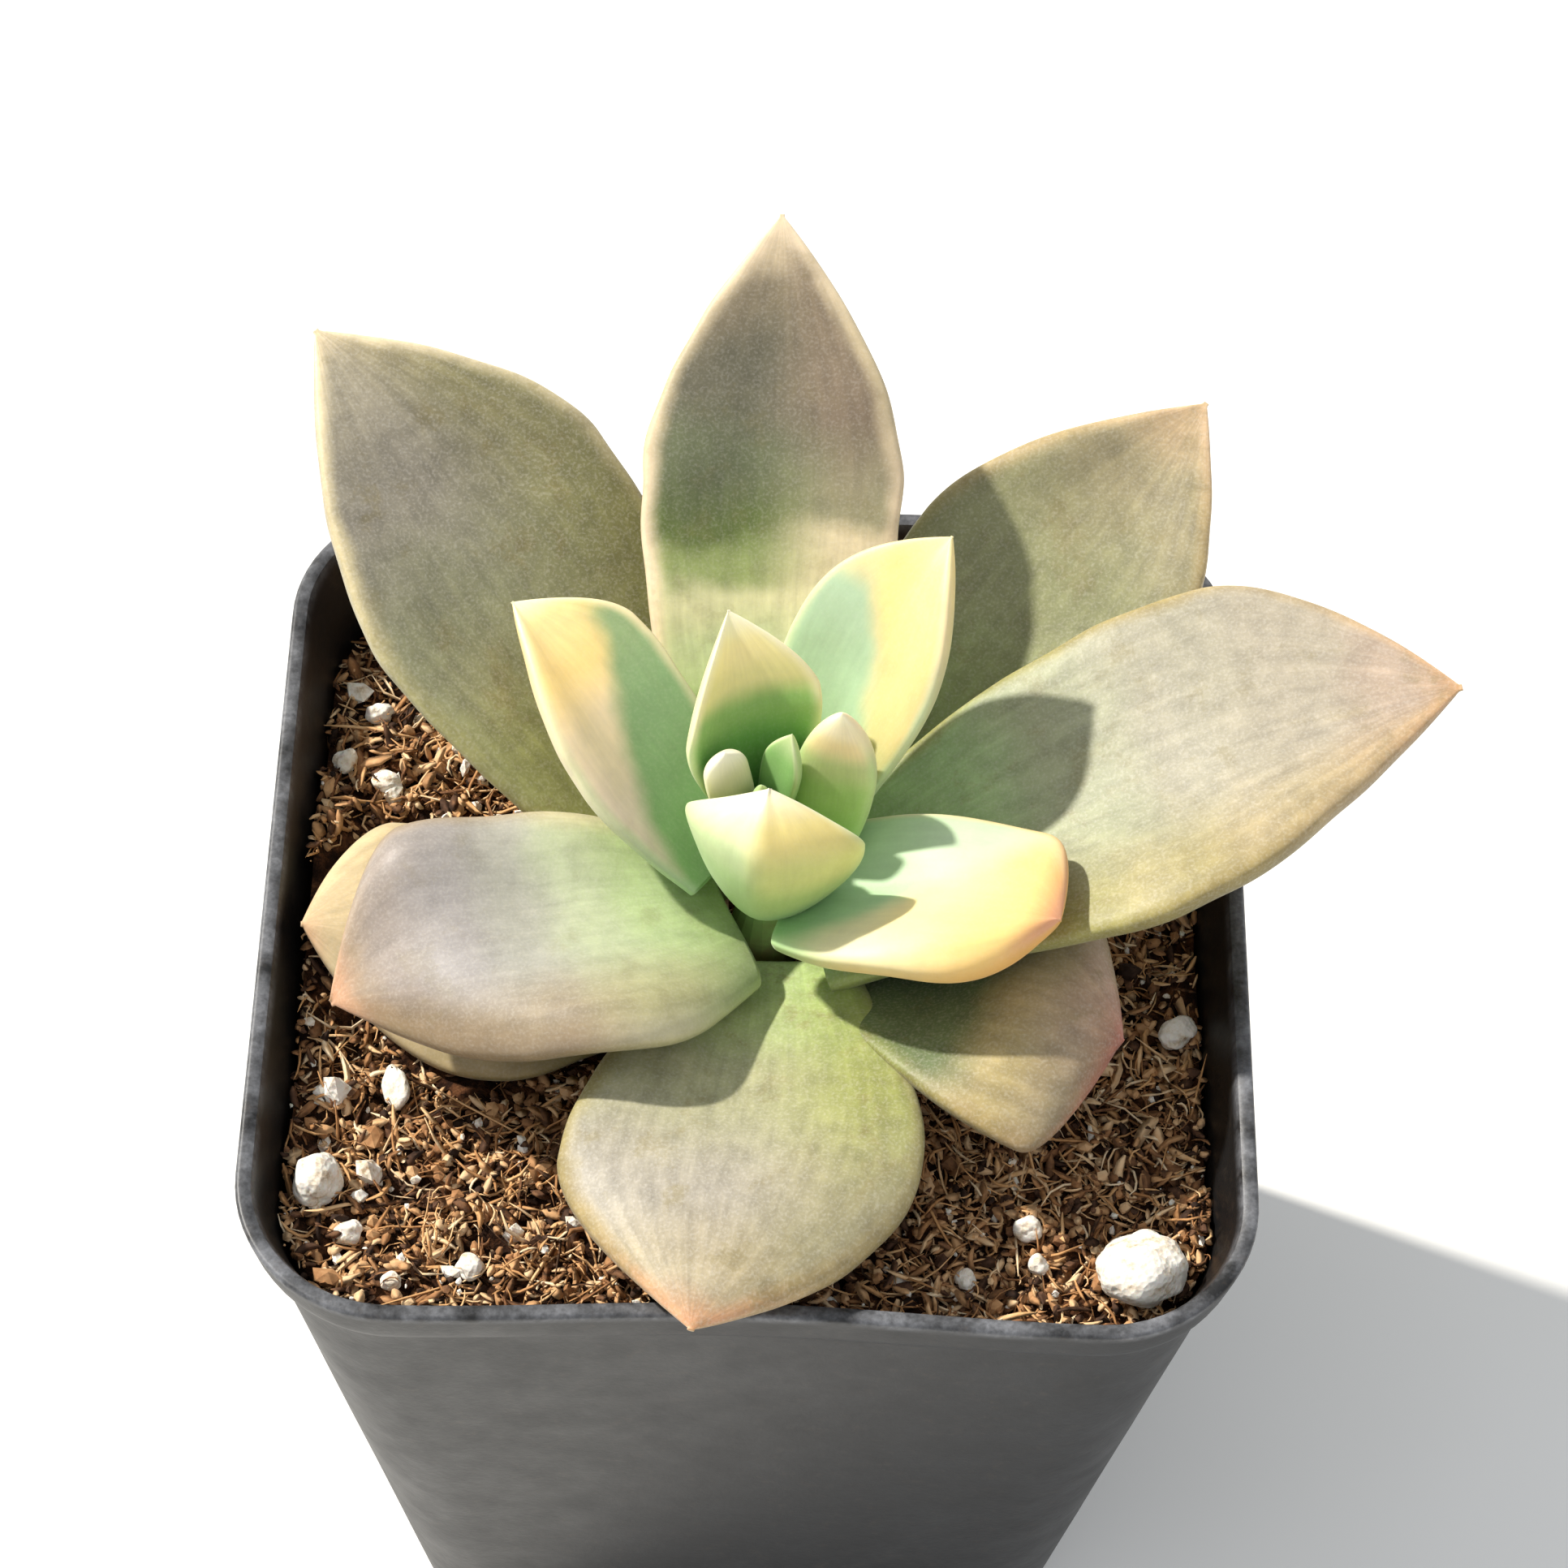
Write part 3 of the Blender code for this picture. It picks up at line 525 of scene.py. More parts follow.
OUTER_LIGHT = (0.8, 0.7, 0.4)
INNER_LIGHT = (0.9, 1.0, 0.45)
SKINS = {
    "outer_left_back": dict(
        spine="0 A8AC60, 30 989A60, 50 8E8E6A, 75 8B8474, 93 A69C84, 100 CDBB98",
        margin="0 A8A458, 40 A09C64, 70 C4B68E, 100 E2D2AE",
        below="0 8B8F50, 100 93856A",
        wash="0 9A9E5A, 50 7C7A4C, 80 847E58, 100 B8A884",
        wash_at=(0.9, 0.0, -0.25, 0.4), rim_width=1.5, bloom=0.9),
    "outer_back": dict(
        spine="0 94BC62, 22 B0CA82, 34 CCD6A2, 41 DAD6A6, 46 94A062, 52 627038, "
              "62 6A7050, 75 6A6652, 86 80745C, 95 C6B392, 100 DCC8A8",
        margin="0 D2DE98, 25 F6DEBE, 50 F6DEBC, 75 CCBA94, 100 E0CCAC",
        below="0 A9C070, 50 948A5A, 100 90806A",
        wash="0 9ABE6A, 22 BCCC88, 36 DCD6A8, 49 DCCCA8, 55 928C6C, 68 7C6C58, 90 86765E, 100 D0BC9C",
        wash_at=(1.0, 0.0, -0.2, 0.4), rim_width=1.6, bloom=0.6),
    "outer_right_back": dict(
        spine="0 98BC74, 30 94A66C, 60 8C8E64, 85 998E6C, 100 BCA27C",
        margin="0 9AA060, 50 8E8C58, 80 B49E70, 100 D2B490",
        below="0 87904E, 100 94805C",
        rim_width=1.4, bloom=0.8),
    "outer_right": dict(
        spine="0 A6CE88, 25 A2BE88, 42 9C9F7E, 60 A09A84, 80 A69C88, 93 B09C88, 100 BE9C7C",
        margin="0 A5B26C, 35 9C9858, 60 A89660, 80 B29C74, 100 C79F77",
        below="0 97A250, 50 7E7436, 100 84683E",
        wash="0 A0B87C, 35 8C8A50, 55 A0945E, 70 A8966C, 100 BA9E7C",
        wash_at=(0.9, 0.0, -0.5, 0.3), rim_width=1.5, bloom=0.8),
    "outer_front": dict(
        spine="0 C2D694, 20 B0BC84, 38 A8A680, 70 A69E8E, 88 AC9F82, 100 C49C74",
        margin="0 ACB878, 40 9C9460, 80 AC9868, 100 CE9A72",
        below="0 97A552, 60 7C7034, 100 9A7A48",
        wash="0 A4B86C, 40 949858, 70 A29A76, 100 AE9C7C",
        wash_at=(-1.0, 0.0, -0.3, 0.4), rim_width=1.6, bloom=0.9, mark="8A7C4C"),
    "outer_left": dict(
        spine="0 A4BC74, 20 B6C690, 36 B4BC98, 52 A6A498, 66 9C9692, 80 94887E, 90 9A8874, 100 BA8E6E",
        margin="0 AEC084, 30 CCC49E, 50 A48F72, 85 9C8462, 100 CE9C78",
        below="0 97A552, 50 7A6A3E, 100 8A6E46",
        wash="0 A0B078, 30 ACA67C, 50 92836A, 80 8A7860, 100 B08C6A",
        wash_at=(-1.0, 0.0, -0.5, 0.3), rim_width=2.2, bloom=0.6),
    "outer_left_low": dict(
        spine="0 8C9650, 50 A49468, 100 D4BE94",
        margin="0 8C9650, 50 B09C70, 90 E0CCA0, 100 DCB088",
        below="0 7F8040, 100 86693F",
        rim_width=2.0, bloom=0.6),
    # painted light on this leaf: painted shade darkens its own olive from the foot to about 60 per cent,
    # and painted sunlight brightens the end from 74 per cent
    "outer_right_low": dict(
        spine="0 465A2C, 35 485E34, 60 5A6A40, 74 B0A07C, 86 B69A80, 96 B88A74, 100 B87464",
        margin="0 586A38, 50 7C8244, 75 A48F5C, 90 947E58, 100 B46E5A",
        below="0 7F8840, 60 8E7E48, 100 9A7C58",
        wash="0 4E6436, 58 64724A, 74 A69664, 90 9A8A6A, 100 8A7A4C",
        wash_at=(0.9, 0.0, -0.2, 0.4), rim_width=1.6, bloom=0.8),
    "inner_left": dict(
        spine="0 80A866, 50 7E9E6C, 78 8EA472, 90 E2CE88, 100 F2DC96",
        margin="0 9CB889, 40 C8C8A0, 80 EEDCAC, 100 FAEEBC",
        below="0 9CC489, 50 E6DAB6, 100 F0D488",
        wash="0 C0B89C, 30 D8C4B0, 55 EAD4B0, 75 F6D68C, 90 F6DC98, 100 F8ECC0",
        wash_at=(-1.0, 2.0, -1.04, 0.2), rim_width=0.9, bloom=0.3),
    "inner_right_back": dict(
        spine="0 80B06A, 45 A8C49C, 70 B0C8A4, 82 E4D49A, 100 F2D890",
        margin="0 A0C488, 50 C4D2A4, 80 E6D2A4, 100 F2DEA4",
        below="0 9CC489, 50 CBCB98, 100 E8CF88",
        wash="0 9CBC78, 30 C0BC80, 55 DCC484, 85 F2D88C, 100 F8E4A4",
        wash_at=(1.0, 2.0, -1.15, 0.2), rim_width=0.8, bloom=0.3),
    "inner_right": dict(
        spine="0 8CBC76, 30 AECC9C, 70 BED0AC, 100 EED49A",
        margin="0 AED090, 40 DCD4A4, 80 F0C878, 100 D99A74",
        below="0 B5CC84, 40 E4C47C, 100 E0A854",
        wash="0 BCD094, 30 E4DAB0, 55 F4DC9E, 85 F6D284, 95 E6B070, 100 C88668",
        wash_at=(1.0, 2.0, -0.98, 0.2), rim_width=0.8, bloom=0.25),
    "crown_back": dict(
        spine="0 4E8A36, 40 66A048, 58 8CB45E, 70 E8DE94, 86 FCEAA4, 100 FCF2C8",
        margin="0 8DBE70, 45 C8D8A0, 65 F2E6B4, 100 FCF2CC",
        below="0 8DBE70, 50 D4D8A0, 100 F6E6AC",
        rim_width=1.1, bloom=0.25),
    "crown_front": dict(
        spine="0 9CC47C, 50 B9CE86, 100 F2E2A0",
        margin="0 A4CC84, 50 C8DCA0, 85 EAF0CC, 100 FAF2D0",
        below="0 8CB864, 40 A4C47C, 62 C0D298, 82 E8E4B8, 100 FAF0D4",
        wash="0 94BC72, 30 A4C06C, 55 C8CE7C, 80 F0DC8C, 100 FCF0CC",
        wash_at=(-1.6, 0.0, 0.05, 0.35), rim_width=1.3, bloom=0.25, wash_below=1.0),
    "crown_right": dict(
        spine="0 88BC5E, 40 A8CC78, 62 C2CE8C, 78 F2DCA4, 90 FAEAC4, 100 FCF2D0",
        margin="0 9BC674, 60 B8D08C, 85 F2E4B4, 100 FBF0CE",
        below="0 9BC674, 50 C2CF8E, 100 FAE6C0",
        rim_width=0.6, bloom=0.25),
    "heart_left": dict(
        spine="0 A8C878, 40 D0D49C, 70 EAE2B8, 100 FCF4DA",
        margin="0 B8D090, 70 E8E2B0, 100 FAF2D8",
        below="0 A0C274, 50 D6D8A0, 100 F2E6C0",
        rim_width=0.4, bloom=0.2),
}
for young in ("heart_back", "heart_front", "heart_middle"):
    SKINS[young] = dict(
        spine="0 639A48, 70 86B466, 100 C2D296",
        margin="0 86B466, 100 D2DCA8",
        below="0 639A48, 100 AFC987",
        rim_width=0.3, bloom=0.2)

for leaf in LEAVES:
    piece = leaf_pieces[leaf.name]
    outer = leaf.name.startswith("outer")
    skin = leaf_skin(("mauve_skin_" if outer else "variegated_skin_") + leaf.name,
                     flesh_light=OUTER_LIGHT if outer else INNER_LIGHT, **SKINS[leaf.name])
    piece.data.materials.append(skin)
    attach(piece, "root")
    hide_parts("leaf_" + leaf.name)
print("leaf skins", len(SKINS))

# %% [markdown]
# ## The pot
# A thin black polypropylene nursery pot, moulded in one piece: a square tub with round
# corners, a stiff band under a rolled lip, and drain holes in its base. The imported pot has
# the right size but few points, so its corners show flats. The fine one is a profile carried
# round a rounded square: each ring is an outline with its own width, corner and height.

# %% Pot outline
POT_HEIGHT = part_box("pot")[1].z
RIM_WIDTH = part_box("pot")[1].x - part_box("pot")[0].x
BASE_WIDTH = 46.0 * MM
WALL = 0.9 * MM
BAND_STEP = 0.8 * MM       # how far the band under the lip stands out of the wall
FRONT_BOW = 0.8 * MM       # how far the front of the rim has bowed in
BASE_CORNER = 6.5          # corner radius at the base, in millimetres
CORNER_GROWTH = 2.7        # how much larger it is at the rim


def square_outline(width, corner, bow, points=240):
    """A square with round corners: each point lies on a corner arc or on a straight side.

    The outline is walked at even steps. The front bows in by bow times cosine squared.
    """
    half = width / 2
    side = 2 * (half - corner)
    quarter = side + corner * math.pi / 2
    walked = np.arange(points) * 4 * quarter / points
    number, on = np.divmod(walked, quarter)
    angle = np.clip(on / corner, 0.0, math.pi / 2)
    straight = np.clip(on - corner * math.pi / 2, 0.0, side)
    x = half - corner + corner * np.cos(angle) - straight
    y = half - corner + corner * np.sin(angle)
    turn = number * math.pi / 2
    outline = np.stack([x * np.cos(turn) - y * np.sin(turn),
                        x * np.sin(turn) + y * np.cos(turn)], axis=-1)
    along = np.clip(np.abs(outline[:, 0]) / (half - corner), 0.0, 1.0)
    front = outline[:, 1] < corner - half
    outline[:, 1] += np.where(front, bow * np.cos(along * math.pi / 2) ** 2, 0.0)
    return outline


def wall_width(share):
    """Width over the tapered wall, at a share of the pot's height."""
    return BASE_WIDTH + (RIM_WIDTH - 2 * BAND_STEP - BASE_WIDTH) * share


def pot_ring(height, inset=0.0, stand_out=0.0):
    """One ring of the pot's wall at a height, moved in by inset or out by stand_out."""
    share = height / POT_HEIGHT
    width = wall_width(share) + 2 * (stand_out - inset)
    corner = max((BASE_CORNER + CORNER_GROWTH * share) * MM - inset + stand_out, MM)
    outline = square_outline(width, corner, FRONT_BOW * share ** 2)
    return np.column_stack([outline, np.full(len(outline), height)])


print("pot", round(RIM_WIDTH / MM, 2), "mm over its rim")


# %% Pot
HALF_WIDTH = 30.0 * MM     # rough half width of the tub


def make_pot():
    """The tub, from a profile of (height, inset, stand_out) in mm: up, over the lip and down."""
    top = POT_HEIGHT / MM
    profile = [(0.0, 1.3, 0), (0.0, 0.9, 0), (0.12, 0.45, 0), (0.4, 0.15, 0), (0.8, 0.0, 0)]
    profile += [(height, 0.0, 0) for height in np.linspace(3.0, 55.5, 22)]
    profile += [(57.2, 0, 0), (57.7, 0, 0.04), (58.1, 0, 0.22), (58.4, 0, 0.55), (58.7, 0, 0.72),
                (59.2, 0, 0.77), (60.0, 0, 0.79), (61.0, 0, 0.8), (61.4, 0, 0.79)]
    lip = [(top - 0.35 * (1 - math.sin(a)), 0.35 * (1 - math.cos(a))) for a in
           np.linspace(0.25, math.pi / 2, 6)]
    profile += [(height, inset, 0.8) for height, inset in lip]
    profile += [(top, 0.6, 0.8), (top - 0.03, 0.85, 0.8), (top - 0.12, 1.02, 0.8),
                (top - 0.35, 1.1, 0.8), (top - 1.0, 1.2, 0.76)]
    profile += [(59.5, 0.75, 0.2), (58.0, 0.88, 0.02)]
    profile += [(height, 0.9, 0) for height in np.linspace(56.0, 3.0, 18)]
    profile += [(1.6, 1.1, 0), (1.25, 1.6, 0), (1.2, 2.2, 0)]
    rings = np.stack([pot_ring(height * MM, inset * MM, stand * MM)
                      for height, inset, stand in profile])
    # thin walls are never quite flat: this bends them inwards, least at the base and the lip
    below_lip = (POT_HEIGHT - rings[..., 2]) / MM
    wall = np.clip(rings[..., 2] / POT_HEIGHT, 0, 1) * np.clip(below_lip, 0, 4) / 4
    bend = 0.12 * MM * wall * waves(rings / MM, 30.0, 5)
    rings[..., :2] *= (1 - np.abs(bend) / HALF_WIDTH)[..., None]
    return closed_surface("nursery_pot", rings)


pot = make_pot()
print("pot triangles", 2 * len(pot.data.polygons))


# %% Drain holes
DRAIN_RADIUS = 2.6 * MM
DRAIN_OFFSET = 14.0 * MM


def cut_holes(piece, radius, offset):
    """Cuts four round holes through the base, with exact Booleans that are then applied."""
    build = bmesh.new()
    for x, y in ((-offset, -offset), (offset, -offset), (offset, offset), (-offset, offset)):
        bmesh.ops.create_cone(build, cap_ends=True, segments=40, radius1=radius, radius2=radius,
                              depth=6 * MM, matrix=Matrix.Translation((x, y, 0.5 * MM)))
    drill_mesh = bpy.data.meshes.new("drill")
    build.to_mesh(drill_mesh)
    build.free()
    drill = bpy.data.objects.new("drill", drill_mesh)
    bpy.context.scene.collection.objects.link(drill)
    cut = piece.modifiers.new("drain", "BOOLEAN")
    cut.operation = "DIFFERENCE"
    cut.object = drill
    bpy.context.view_layer.update()
    cut_mesh = bpy.data.meshes.new_from_object(
        piece.evaluated_get(bpy.context.evaluated_depsgraph_get()))
    piece.modifiers.clear()
    piece.data = cut_mesh
    bpy.data.objects.remove(drill)


cut_holes(pot, DRAIN_RADIUS, DRAIN_OFFSET)
pot.data.set_sharp_from_angle(angle=math.radians(35))
print("pot faces after drilling", len(pot.data.polygons))


# %% [markdown]
# ## Black plastic
# Injection-moulded polypropylene: dull satin black, slightly grained by the mould. Use has
# scuffed the lip to grey, and brown dust lies on all of it.

# %% Black plastic
def black_plastic():
    """Near-black plastic: scuffs by height near the rim, brown dust by noise."""
    material, tree, shader, place = new_material("black_polypropylene", IOR=1.49,
                                                 Specular_IOR_Level=0.5)
    height = add(tree, "ShaderNodeSeparateXYZ", None, {0: place}).outputs["Z"]
    on_lip = map_range(tree, height, 0.0609, 0.0619, curve="SMOOTHSTEP")
    blotch = noise(tree, place, 260.0, 5.0, 0.65)
    fine = noise(tree, place, 2300.0, 3.0, 0.6)
    scuff = maths(tree, "MULTIPLY", map_range(tree, blotch, 0.36, 0.62), on_lip)
    worn = maths(tree, "MULTIPLY", maths(tree, "MULTIPLY", scuff, fine), 0.8)
    base = blend(tree, worn, linear("0F0F10"), linear("9A9CA2"))
    dusty = map_range(tree, noise(tree, place, 900.0, 6.0, 0.75), 0.55, 0.8, 0.0, 0.2)
    base = blend(tree, dusty, base, linear("6A5A4A"))
    tree.links.new(base, shader.inputs["Base Color"])
    rough = map_range(tree, blotch, 0.3, 0.7, 0.4, 0.52)
    tree.links.new(rough, shader.inputs["Roughness"])
    relief(tree, shader, fine, 0.25, 0.00008)
    return material


pot.data.materials.clear()
pot.data.materials.append(black_plastic())
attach(pot, "root")
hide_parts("pot")
print("pot finished")

# %% [markdown]
# ## The mix
# Coir, peat and perlite, filled to a few millimetres below the lip. Its top is made in two
# layers: a lumpy surface with deep pits, and on it thousands of loose strands and crumbs.
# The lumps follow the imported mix, so leaves and grains rest where they should.

# %% Height of the mix
def hill(x, y, centre_x, centre_y, spread):
    """A smooth round hill of height 1."""
    return np.exp(-((x - centre_x) ** 2 + (y - centre_y) ** 2) / spread ** 2)


def drift(u, v):
    """Loose mix heaped against the wall: highest at the left, where it reaches the lip."""
    edge = ease((np.maximum(np.abs(u), np.abs(v)) - 24.0) / 5.0)
    return edge * (2.6 * hill(u, v, -31, -1, 11) + 1.0 * hill(u, v, -28, -26, 14)
                   + 0.7 * hill(u, v, 20, -30, 16))


def mix_height(x, y):
    """Height of the mix: its level, lumps, hollows under the low leaves, and its banks."""
    u, v = x / MM, y / MM
    lumps = (np.sin(0.83 * u + 0.4) * np.cos(0.71 * v - 0.9)
             + 0.6 * np.sin(1.9 * u - 1.3 * v + 2.0) + 0.5 * np.cos(1.4 * u + 2.1 * v))
    hollows = hill(u, v, -19, -2, 11) + hill(u, v, 20, -10, 8) + 0.5 * hill(u, v, 0.5, -1.5, 6)
    banks = (1.4 * hill(u, v, -30, 3, 5) - 2.6 * hill(u, v, -29, 30, 11)
             - 0.8 * hill(u, v, 29, 8, 10))
    return MIX_LEVEL + MM * (0.45 * lumps / 1.4 - 1.4 * hollows + banks + drift(u, v))


def crumble(x, y):
    """Crumbs and pits, 0.9 to 3.6 mm apart, in metres: the fine relief on top of the lumps."""
    flat = np.stack([x, y], axis=-1) / MM
    rough = 0.55 * waves(flat, 3.6, 21, 12) + 0.4 * waves(flat, 1.7, 22, 14)
    rough = rough + 0.25 * waves(flat, 0.9, 23, 14)
    return 0.62 * MM * (rough - 0.35 * np.abs(rough))


print("mix at the middle of the left side", round(float(mix_height(-0.02, 0.01)) / MM, 2), "mm")


# %% Room for loose pieces
CELL = 0.7 * MM            # the map's cells, CELLS of them along each side
CELLS = 120
LEAF_GAP = 0.15 * MM       # how far a loose piece stays below a leaf
INNER_CORNER = 7.6 * MM    # corner radius inside the wall
lowest = np.full((CELLS, CELLS), 1.0)


def cell_of(points):
    """The row and column of the cell that each point lies over."""
    cells = np.clip(np.floor(points[..., :2] / CELL).astype(int) + CELLS // 2, 0, CELLS - 1)
    return cells[..., 0], cells[..., 1]


for piece in leaf_pieces.values():
    points = np.empty(len(piece.data.vertices) * 3)
    piece.data.vertices.foreach_get("co", points)
    points = points.reshape(-1, 3)
    np.minimum.at(lowest, cell_of(points), points[:, 2])
steps = ((0, 0), (1, 0), (-1, 0), (0, 1), (0, -1))
lowest = np.min([np.roll(lowest, step, axis=(0, 1)) for step in steps], axis=0)


def leaf_floor(points):
    """Height of the lowest leaf above each point, or 1 m where there is none."""
    return lowest[cell_of(points)]


def has_room(points, wall_gap):
    """Which pieces, shape (pieces, points, 3), lie inside the pot and below the leaves."""
    below = points[..., 2] < leaf_floor(points) - LEAF_GAP
    half = wall_width(points[..., 2] / POT_HEIGHT) / 2 - WALL - wall_gap
    reach = np.maximum(np.abs(points[..., :2]) - (half - INNER_CORNER)[..., None], 0.0)
    front = FRONT_BOW * np.cos(np.clip(points[..., 0] / half, -1, 1) * math.pi / 2) ** 2
    inside = (np.linalg.norm(reach, axis=-1) < INNER_CORNER) & (points[..., 1] > front - half)
    return (below & inside).all(axis=1)


print("cells under leaves", int((lowest < 1.0).sum()))


# %% Mix surface
MIX_EDGE = 54.5 * MM       # height of the ring of wall that the mix's top reaches out to
WALL_GAP = 0.95 * MM       # how far in that ring lies
UNDER_LEAF = 0.3 * MM      # how far the mix stays below a leaf
SOCKET = 2.5 * MM          # radius of the hole that the stem stands in
SOCKET_FLOOR = 48.6 * MM


def make_mix():
    """Rings from the stem out to the wall, then down the wall and in under the mix."""
    edge = pot_ring(MIX_EDGE, WALL_GAP)
    angle = np.arctan2(edge[:, 1] - STEM[1], edge[:, 0] - STEM[0])
    inner = np.column_stack([STEM[0] + SOCKET * np.cos(angle), STEM[1] + SOCKET * np.sin(angle)])
    share = np.linspace(0.0, 1.0, 110)[:, None, None]
    flat = inner + (edge[:, :2] - inner) * share
    height = mix_height(flat[..., 0], flat[..., 1]) + crumble(flat[..., 0], flat[..., 1])
    height = np.minimum(height, leaf_floor(flat) - UNDER_LEAF)
    top = np.concatenate([flat, height[..., None]], axis=-1)
    socket = np.column_stack([inner, np.full(len(inner), SOCKET_FLOOR)])
    low = [pot_ring(z * MM, 0.98 * MM) for z in (51.0, 40.0, 20.0, 1.9)]
    rings = np.concatenate([socket[None], top, np.stack(low)])
    return closed_surface("mix_surface", rings[::-1])


mix = make_mix()
print("mix triangles", 2 * len(mix.data.polygons))


# %% [markdown]
# ## Strands and crumbs
# Coir is coconut husk: stiff, curved strands 0.1 to 0.3 mm thick and a few millimetres long,
# with flat chips of pith between them. Each strand is a thin tube with three sides, and all
# of them are made at once as one array. A strand is kept only if it lies inside the pot and
# below every leaf, which a coarse map of the leaves' lowest heights tells.

# %% Coir strands
STREWN = 29.5        # loose pieces lie this far out from the middle, in millimetres
STEEPEST = 0.6       # the steepest slope of a strand, in radians
SIDES = 3
TAPER = np.array([0.35, 0.95, 1.0, 0.85, 0.25])    # thickness of each ring along a strand
RINGS = len(TAPER)


def make_strands(name, count, length, radius, lift, tilt, bend, seed, flatness=1.0):
    """Bent tapering tubes with three sides, strewn over the mix.

    Each strand is an arc: its direction turns by bend along it. Its middle sits at the
    mix's height plus a random lift.
    """
    dice = np.random.default_rng(seed)
    centre = dice.uniform(-STREWN, STREWN, (count, 2)) * MM
    size = dice.gamma(3.0, length / 3.0, count)[:, None] * MM
    thick = radius * MM * dice.uniform(0.6, 1.5, count)[:, None]
    heading = dice.uniform(0, 2 * math.pi, count)[:, None]
    slope = np.clip(dice.normal(0, tilt, count), -STEEPEST, STEEPEST)[:, None]
    s = np.linspace(-0.5, 0.5, RINGS)
    turning = heading + dice.normal(0, bend, count)[:, None] * s
    x = centre[:, :1] + np.cumsum(np.cos(turning), axis=1) * size / RINGS - np.cos(heading) * size / 2
    y = centre[:, 1:] + np.cumsum(np.sin(turning), axis=1) * size / RINGS - np.sin(heading) * size / 2
    over = dice.uniform(lift[0], lift[1], count)[:, None] * MM
    sag = dice.normal(0, 0.25, count)[:, None] * size * (s ** 2 - 0.1)
    ground = mix_height(x, y) + 0.6 * crumble(x, y)
    z = 0.6 * ground + 0.4 * ground.mean(axis=1, keepdims=True) + over
    z = z + np.tan(slope) * s * size + sag
    path = np.stack([x, y, z], axis=-1)
    keep = has_room(path, 0.1 * MM)
    path, thick, turning = path[keep], thick[keep], turning[keep]
    across = np.stack([-np.sin(turning), np.cos(turning), np.zeros_like(turning)], axis=-1)
    lean = dice.uniform(-1, 1, len(path))[:, None, None] * flatness
    upright = np.array([0.0, 0.0, 1.0])
    sides = []
    for angle in np.arange(SIDES) * 2 * math.pi / SIDES:
        offset = across * math.cos(angle) + (upright + lean * across) * math.sin(angle) / flatness
        sides.append(path + offset * (thick * TAPER)[..., None])
    tubes = np.stack(sides, axis=2)
    kept = len(tubes)
    ends = np.stack([tubes[:, 0].mean(axis=1), tubes[:, -1].mean(axis=1)], axis=1)
    points = np.concatenate([tubes.reshape(kept, RINGS * SIDES, 3), ends], axis=1)
    each = points.shape[1]
    walls, caps = ring_faces(RINGS, SIDES)
    start = (np.arange(kept) * each)[:, None, None]
    faces = (np.array(walls) + start).reshape(-1, 4).tolist()
    faces += (np.array(caps) + start).reshape(-1, 3).tolist()
    piece = finish_object(name, points.reshape(-1, 3), faces)
    store(piece.data, "tone", np.repeat(dice.uniform(0, 1, kept), each))
    return piece


strands = make_strands("coir_strands", 6500, 2.6, 0.085, (-0.2, 1.0), 0.3, 1.8, 31)
coarse_strands = make_strands("coarse_coir_strands", 2200, 2.8, 0.17, (-0.2, 0.9), 0.4, 1.2, 34, 2.2)
chips = make_strands("pith_chips", 8500, 1.2, 0.28, (-0.2, 0.9), 0.55, 0.9, 32, flatness=2.4)
long_strands = make_strands("long_coir_strands", 240, 8.0, 0.10, (0.3, 1.1), 0.16, 1.8, 33)
print("strands", [len(piece.data.polygons) for piece in (strands, coarse_strands, chips, long_strands)])


# %% [markdown]
# ## Husk and peat
# Strands run from near black, where peat clings to them, to tan where they are clean. Every
# strand has its own tone, a number kept on its vertices, and a ramp of husk browns reads it.
# The mix below them is darker, since it is mostly peat and shade.

# %% Husk brown
def husk(name, tones, spots):
    """Rough brown husk: a ramp of browns by each strand's tone, mottled by noise."""
    material, tree, shader, place = new_material(name, Roughness=0.82, Specular_IOR_Level=0.25)
    mottle = noise(tree, place, spots, 4.0, 0.65)
    mixed = maths(tree, "MULTIPLY_ADD", mottle, 0.7, attribute(tree, "tone"))
    colour = ramp(tree, maths(tree, "SUBTRACT", mixed, 0.35), tones, "LINEAR")
    tree.links.new(colour, shader.inputs["Base Color"])
    relief(tree, shader, mottle, 0.6, 0.0001)
    return material


STRAND_BROWNS = "0 3C2A1C, 12 7E5638, 35 B88656, 60 DAAA74, 85 EEC898, 100 F6E0BC"
CHIP_BROWNS = "0 2C1D14, 20 5E4230, 45 A2744C, 75 D2A474, 100 EAC89C"
husk_strand = husk("coir_husk", STRAND_BROWNS, 1500.0)
husk_chip = husk("coir_pith", CHIP_BROWNS, 1100.0)
for piece, material in ((strands, husk_strand), (coarse_strands, husk_strand),
                        (long_strands, husk_strand), (chips, husk_chip)):
    piece.data.materials.append(material)
    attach(piece, "root")
print("husk finished")


# %% Peat
def peat():
    """Dark peat with brown crumbs: two noises, 0.4 and 1.5 mm, through a ramp of browns."""
    material, tree, shader, place = new_material("peat_and_coir_dust", Roughness=0.95,
                                                 Specular_IOR_Level=0.15)
    colour = ramp(tree, noise(tree, place, 700.0, 6.0, 0.7), "30 120B07, 48 2C1A10, 60 5A3923, 75 8A5F3E",
                  "LINEAR")
    tree.links.new(colour, shader.inputs["Base Color"])
    relief(tree, shader, noise(tree, place, 2600.0, 4.0, 0.7), 0.9, 0.0003)
    return material


mix.data.materials.append(peat())
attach(mix, "root")
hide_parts("potting_mix")
print("mix finished")

# %% [markdown]
# ## Perlite
# Perlite is volcanic glass puffed by heat: white, chalky grains full of pits. Thirteen
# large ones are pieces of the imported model. Each is a sphere pushed in and out by several
# sizes of waves. Hundreds of crumbs are strewn between the strands, each with few faces.

